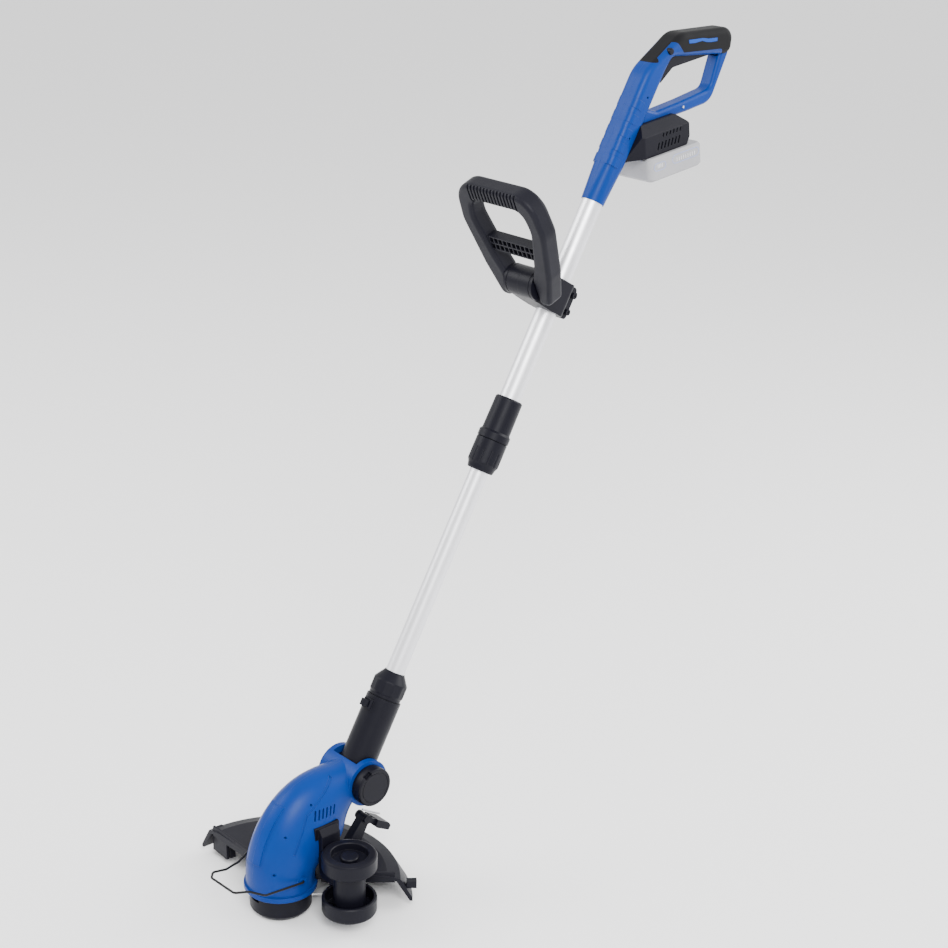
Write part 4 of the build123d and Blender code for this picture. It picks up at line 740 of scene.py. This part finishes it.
@dataclass
class PackPrints:
    """Two outlined fields and their bars on the battery pack's near side.

    Attributes:
        tilt: lean of the pack along the tool.
        sunk: how far the prints' backs lie under the pack's side.
        rim: width of an outline.
        thick: thickness of an outline.
        bar_middle: height of the rows of bars.
        bar_radius: radius of a bar.
        bar_length: length of a bar.
    """

    tilt: float = radians(8.5)
    sunk: float = 0.00005
    rim: float = 0.001
    thick: float = 0.00025
    bar_middle: float = 0.7985
    bar_radius: float = 0.0004
    bar_length: float = 0.005
    fields: tuple[PackField, ...] = (
        PackField("front", 0.709, 0.732, 0.7975, 0.0055, 0.7165, 4, 0.008),
        PackField("rear", 0.744, 0.796, 0.7995, 0.0062, 0.753, 9, 0.034),
    )

    def build(self, paint: Paint) -> None:
        """Make the fields, then the bars.

        Args:
            paint: the finishes.
        """
        along = Vector((cos(self.tilt), 0, sin(self.tilt)))
        rise = Vector((-sin(self.tilt), 0, cos(self.tilt)))
        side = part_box("battery_case_upper")[0].y + self.sunk
        place = axes_matrix(along, rise, NEAR_SIDE, Vector((0, side, 0)))
        for print_field in self.fields:
            self.outline(print_field, place, paint)
        for print_field in self.fields:
            self.row(print_field, place, paint)

    def outline(self, print_field: PackField, place: Matrix, paint: Paint) -> None:
        """Make a field's outline.

        Args:
            print_field: the field.
            place: matrix from the pack's side to the row frame.
            paint: the finishes.
        """
        low_x, high_x, middle = print_field.low_x, print_field.high_x, print_field.middle
        outer = stadium(low_x, high_x, middle, print_field.radius)
        inner = stadium(low_x + self.rim, high_x - self.rim, middle, print_field.radius - self.rim)
        mesh = band(outer, inner, self.thick, place)
        settle(f"pack_field_{print_field.end}", mesh, "battery", paint.of("print"))

    def row(self, print_field: PackField, place: Matrix, paint: Paint) -> None:
        """Make a field's row of bars.

        Args:
            print_field: the field.
            place: matrix from the pack's side to the row frame.
            paint: the finishes.
        """
        name = f"pack_bars_{print_field.end}"
        start = Matrix.Translation((print_field.bars_start, self.bar_middle, 0.0))
        bars = RepeatedBars(
            name=name,
            kind=RowKind.LINE,
            count=print_field.bars,
            span=print_field.bars_span,
            thick=self.bar_radius,
            length=self.bar_length,
            place=place @ start @ Matrix.Rotation(-pi / 2, 4, "X"),
        )
        settle(name, bars.mesh(paint.of("mark")), "battery", paint.of("mark"))


@dataclass
class ClampBolts:
    """Knurled socket heads of the two bolts behind the front handle's clamp.

    Attributes:
        head_radius: radius of a head.
        head_length: how far a head stands out.
        rim: size of the bevel round the top.
        socket_share: width of the hexagonal socket, as a share of the head.
        socket_depth: its depth.
        sides: flat parts round a head.
        knurls: number of knurls.
        knurl_radius: radius of a knurl.
        knurl_share: length of a knurl, as a share of the head.
        face: distance of the clamp's rear face behind the shaft's middle line.
        places: where the bolts stand, up the shaft and to the user's right.
    """

    head_radius: float = 0.0042
    head_length: float = 0.0075
    rim: float = 0.0007
    socket_share: float = 0.55
    socket_depth: float = 0.003
    sides: int = 36
    knurls: int = 18
    knurl_radius: float = 0.00034
    knurl_share: float = 0.82
    face: float = 0.0278
    places: tuple[tuple[float, float], ...] = ((0.686, -0.003), (0.662, -0.003))

    def build(self, paint: Paint) -> None:
        """Make both heads with their sockets and knurls.

        Args:
            paint: the finishes.
        """
        for number, (up, side) in enumerate(self.places, 1):
            origin = on_shaft(up, self.face, side)
            place = axes_matrix(Vector((0, 1, 0)), UP_SHAFT, BACK_SHAFT, origin)
            settle(f"clamp_bolt_{number}", self.head(place), "aux_clamp", paint.of("black"))
            name = f"clamp_bolt_knurl_{number}"
            bars = RepeatedBars(
                name=name,
                kind=RowKind.RING,
                count=self.knurls,
                span=self.head_radius,
                thick=self.knurl_radius,
                length=self.head_length * self.knurl_share,
                place=place @ Matrix.Translation((0, 0, self.head_length / 2)),
            )
            settle(name, bars.mesh(paint.of("black")), "aux_clamp", paint.of("black"))

    def head(self, place: Matrix) -> bpy.types.Mesh:
        """One head: a round body with a bevelled rim and a hexagonal socket.

        Args:
            place: matrix to the row frame.

        Returns:
            The mesh.
        """
        mesh = bpy.data.meshes.new("bolt_head")
        shape = bmesh.new()
        radius, top = self.head_radius, self.head_length
        socket = radius * self.socket_share
        turns = [2 * pi * side / self.sides for side in range(self.sides)]
        round_rings = ((radius, 0.0), (radius, top - self.rim), (radius - self.rim, top))
        socket_rings = ((socket, top), (socket, top - self.socket_depth))
        rings = []
        for out, height in round_rings:
            rings.append([self.corner(shape, out, turn, height) for turn in turns])
        for out, height in socket_rings:
            ring = [self.corner(shape, self.hexagon(out, turn), turn, height) for turn in turns]
            rings.append(ring)
        for ring, following in zip(rings, rings[1:]):
            for side in range(self.sides):
                after = (side + 1) % self.sides
                shape.faces.new((ring[side], ring[after], following[after], following[side]))
        shape.faces.new(rings[0][::-1])
        shape.faces.new(rings[-1])
        bmesh.ops.transform(shape, matrix=place, verts=shape.verts)
        shape.to_mesh(mesh)
        shape.free()
        return mesh

    @staticmethod
    def hexagon(corner_radius: float, turn: float) -> float:
        """Distance from a hexagon's centre to its side.

        Args:
            corner_radius: distance to its corners.
            turn: direction, as an angle.

        Returns:
            The distance.
        """
        return corner_radius * cos(pi / 6) / cos(turn % (pi / 3) - pi / 6)

    @staticmethod
    def corner(shape: bmesh.types.BMesh, out: float, turn: float, height: float) -> bmesh.types.BMVert:
        """A new corner, given round the bolt's middle line.

        Args:
            shape: the mesh being made.
            out: distance from the middle line.
            turn: direction, as an angle.
            height: height up the bolt.

        Returns:
            The corner.
        """
        return shape.verts.new((out * cos(turn), out * sin(turn), height))


# --------------------------------------------------------------------------- studio
@dataclass(frozen=True)
class Lamp:
    """A square soft light.

    Attributes:
        name: name of the lamp.
        place: where it stands, in metres.
        size: its width, in metres.
        power: its power, in watts.
    """

    name: str
    place: tuple[float, float, float]
    size: float
    power: float


@dataclass
class Studio:
    """Pale floor, soft light and the camera."""

    target: Vector = field(default_factory=lambda: Vector((0.315, 0.0, 0.52)))
    azimuth: float = radians(-42.44)
    elevation: float = radians(20.57)
    roll: float = radians(-1.609)
    distance: float = 2.435
    lens: float = 71.46
    sensor: float = 36.0
    near_limit: float = 0.05
    far_limit: float = 60.0
    floor_half: float = 14.0
    floor_gap: float = 0.0003
    floor_colour: tuple[float, float, float, float] = (0.93, 0.93, 0.935, 1.0)
    floor_rough: float = 0.85
    sky_strength: float = 1.5
    lamps: tuple[Lamp, ...] = (
        Lamp("key_lamp", (-1.2, -2.4, 2.8), 1.6, 170.0),
        Lamp("side_lamp", (2.6, -1.2, 1.8), 1.8, 70.0),
        Lamp("rear_lamp", (-1.6, 2.2, 2.4), 1.8, 70.0),
    )

    def camera(self) -> None:
        """Place the camera."""
        back = Vector(
            (
                sin(self.azimuth) * cos(self.elevation),
                -cos(self.azimuth) * cos(self.elevation),
                sin(self.elevation),
            )
        )
        right = Vector((cos(self.azimuth), sin(self.azimuth), 0.0))
        up = back.cross(right)
        turned_right = cos(self.roll) * right - sin(self.roll) * up
        turned_up = sin(self.roll) * right + cos(self.roll) * up
        data = bpy.data.cameras.new("camera")
        data.lens = self.lens
        data.sensor_width = self.sensor
        data.clip_start = self.near_limit
        data.clip_end = self.far_limit
        camera = bpy.data.objects.new("camera", data)
        turn = Matrix((turned_right, turned_up, back)).transposed().to_4x4()
        camera.matrix_world = Matrix.Translation(self.target + self.distance * back) @ turn
        bpy.context.scene.collection.objects.link(camera)
        bpy.context.scene.camera = camera

    def floor(self) -> None:
        """A wide plain floor just under the spool."""
        mesh = bpy.data.meshes.new("studio_floor")
        shape = bmesh.new()
        bmesh.ops.create_grid(shape, x_segments=2, y_segments=2, size=self.floor_half)
        shape.to_mesh(mesh)
        shape.free()
        floor = bpy.data.objects.new("studio_floor", mesh)
        floor.location.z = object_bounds()[0][2] - self.floor_gap
        material = bpy.data.materials.new("studio_white")
        material.use_nodes = True
        shader = material.node_tree.nodes["Principled BSDF"]
        shader.inputs["Base Color"].default_value = self.floor_colour
        shader.inputs["Roughness"].default_value = self.floor_rough
        mesh.materials.append(material)
        bpy.context.scene.collection.objects.link(floor)
        floor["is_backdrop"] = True

    def hang(self, lamp: Lamp) -> None:
        """Hang a lamp, aimed at the tool.

        Args:
            lamp: the lamp.
        """
        data = bpy.data.lights.new(lamp.name, "AREA")
        data.size = lamp.size
        data.energy = lamp.power
        hung = bpy.data.objects.new(lamp.name, data)
        hung.location = lamp.place
        aim = self.target - Vector(lamp.place)
        hung.rotation_euler = aim.to_track_quat("-Z", "Y").to_euler()
        bpy.context.scene.collection.objects.link(hung)

    def light(self) -> None:
        """White surroundings and the lamps."""
        world = bpy.data.worlds.new("studio_air")
        world.use_nodes = True
        sky = world.node_tree.nodes["Background"]
        sky.inputs["Color"].default_value = (1.0, 1.0, 1.0, 1.0)
        sky.inputs["Strength"].default_value = self.sky_strength
        bpy.context.scene.world = world
        for lamp in self.lamps:
            self.hang(lamp)


def main() -> None:
    """Build the scene."""
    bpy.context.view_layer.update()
    studio = Studio()
    studio.camera()
    paint = Paint()
    CuttingLine().build(paint)
    paint.frame_nodes()
    GripInlay().build(paint)
    PackPrints().build(paint)
    ClampBolts().build(paint)
    studio.floor()
    studio.light()


if __name__ == "__main__":
    main()
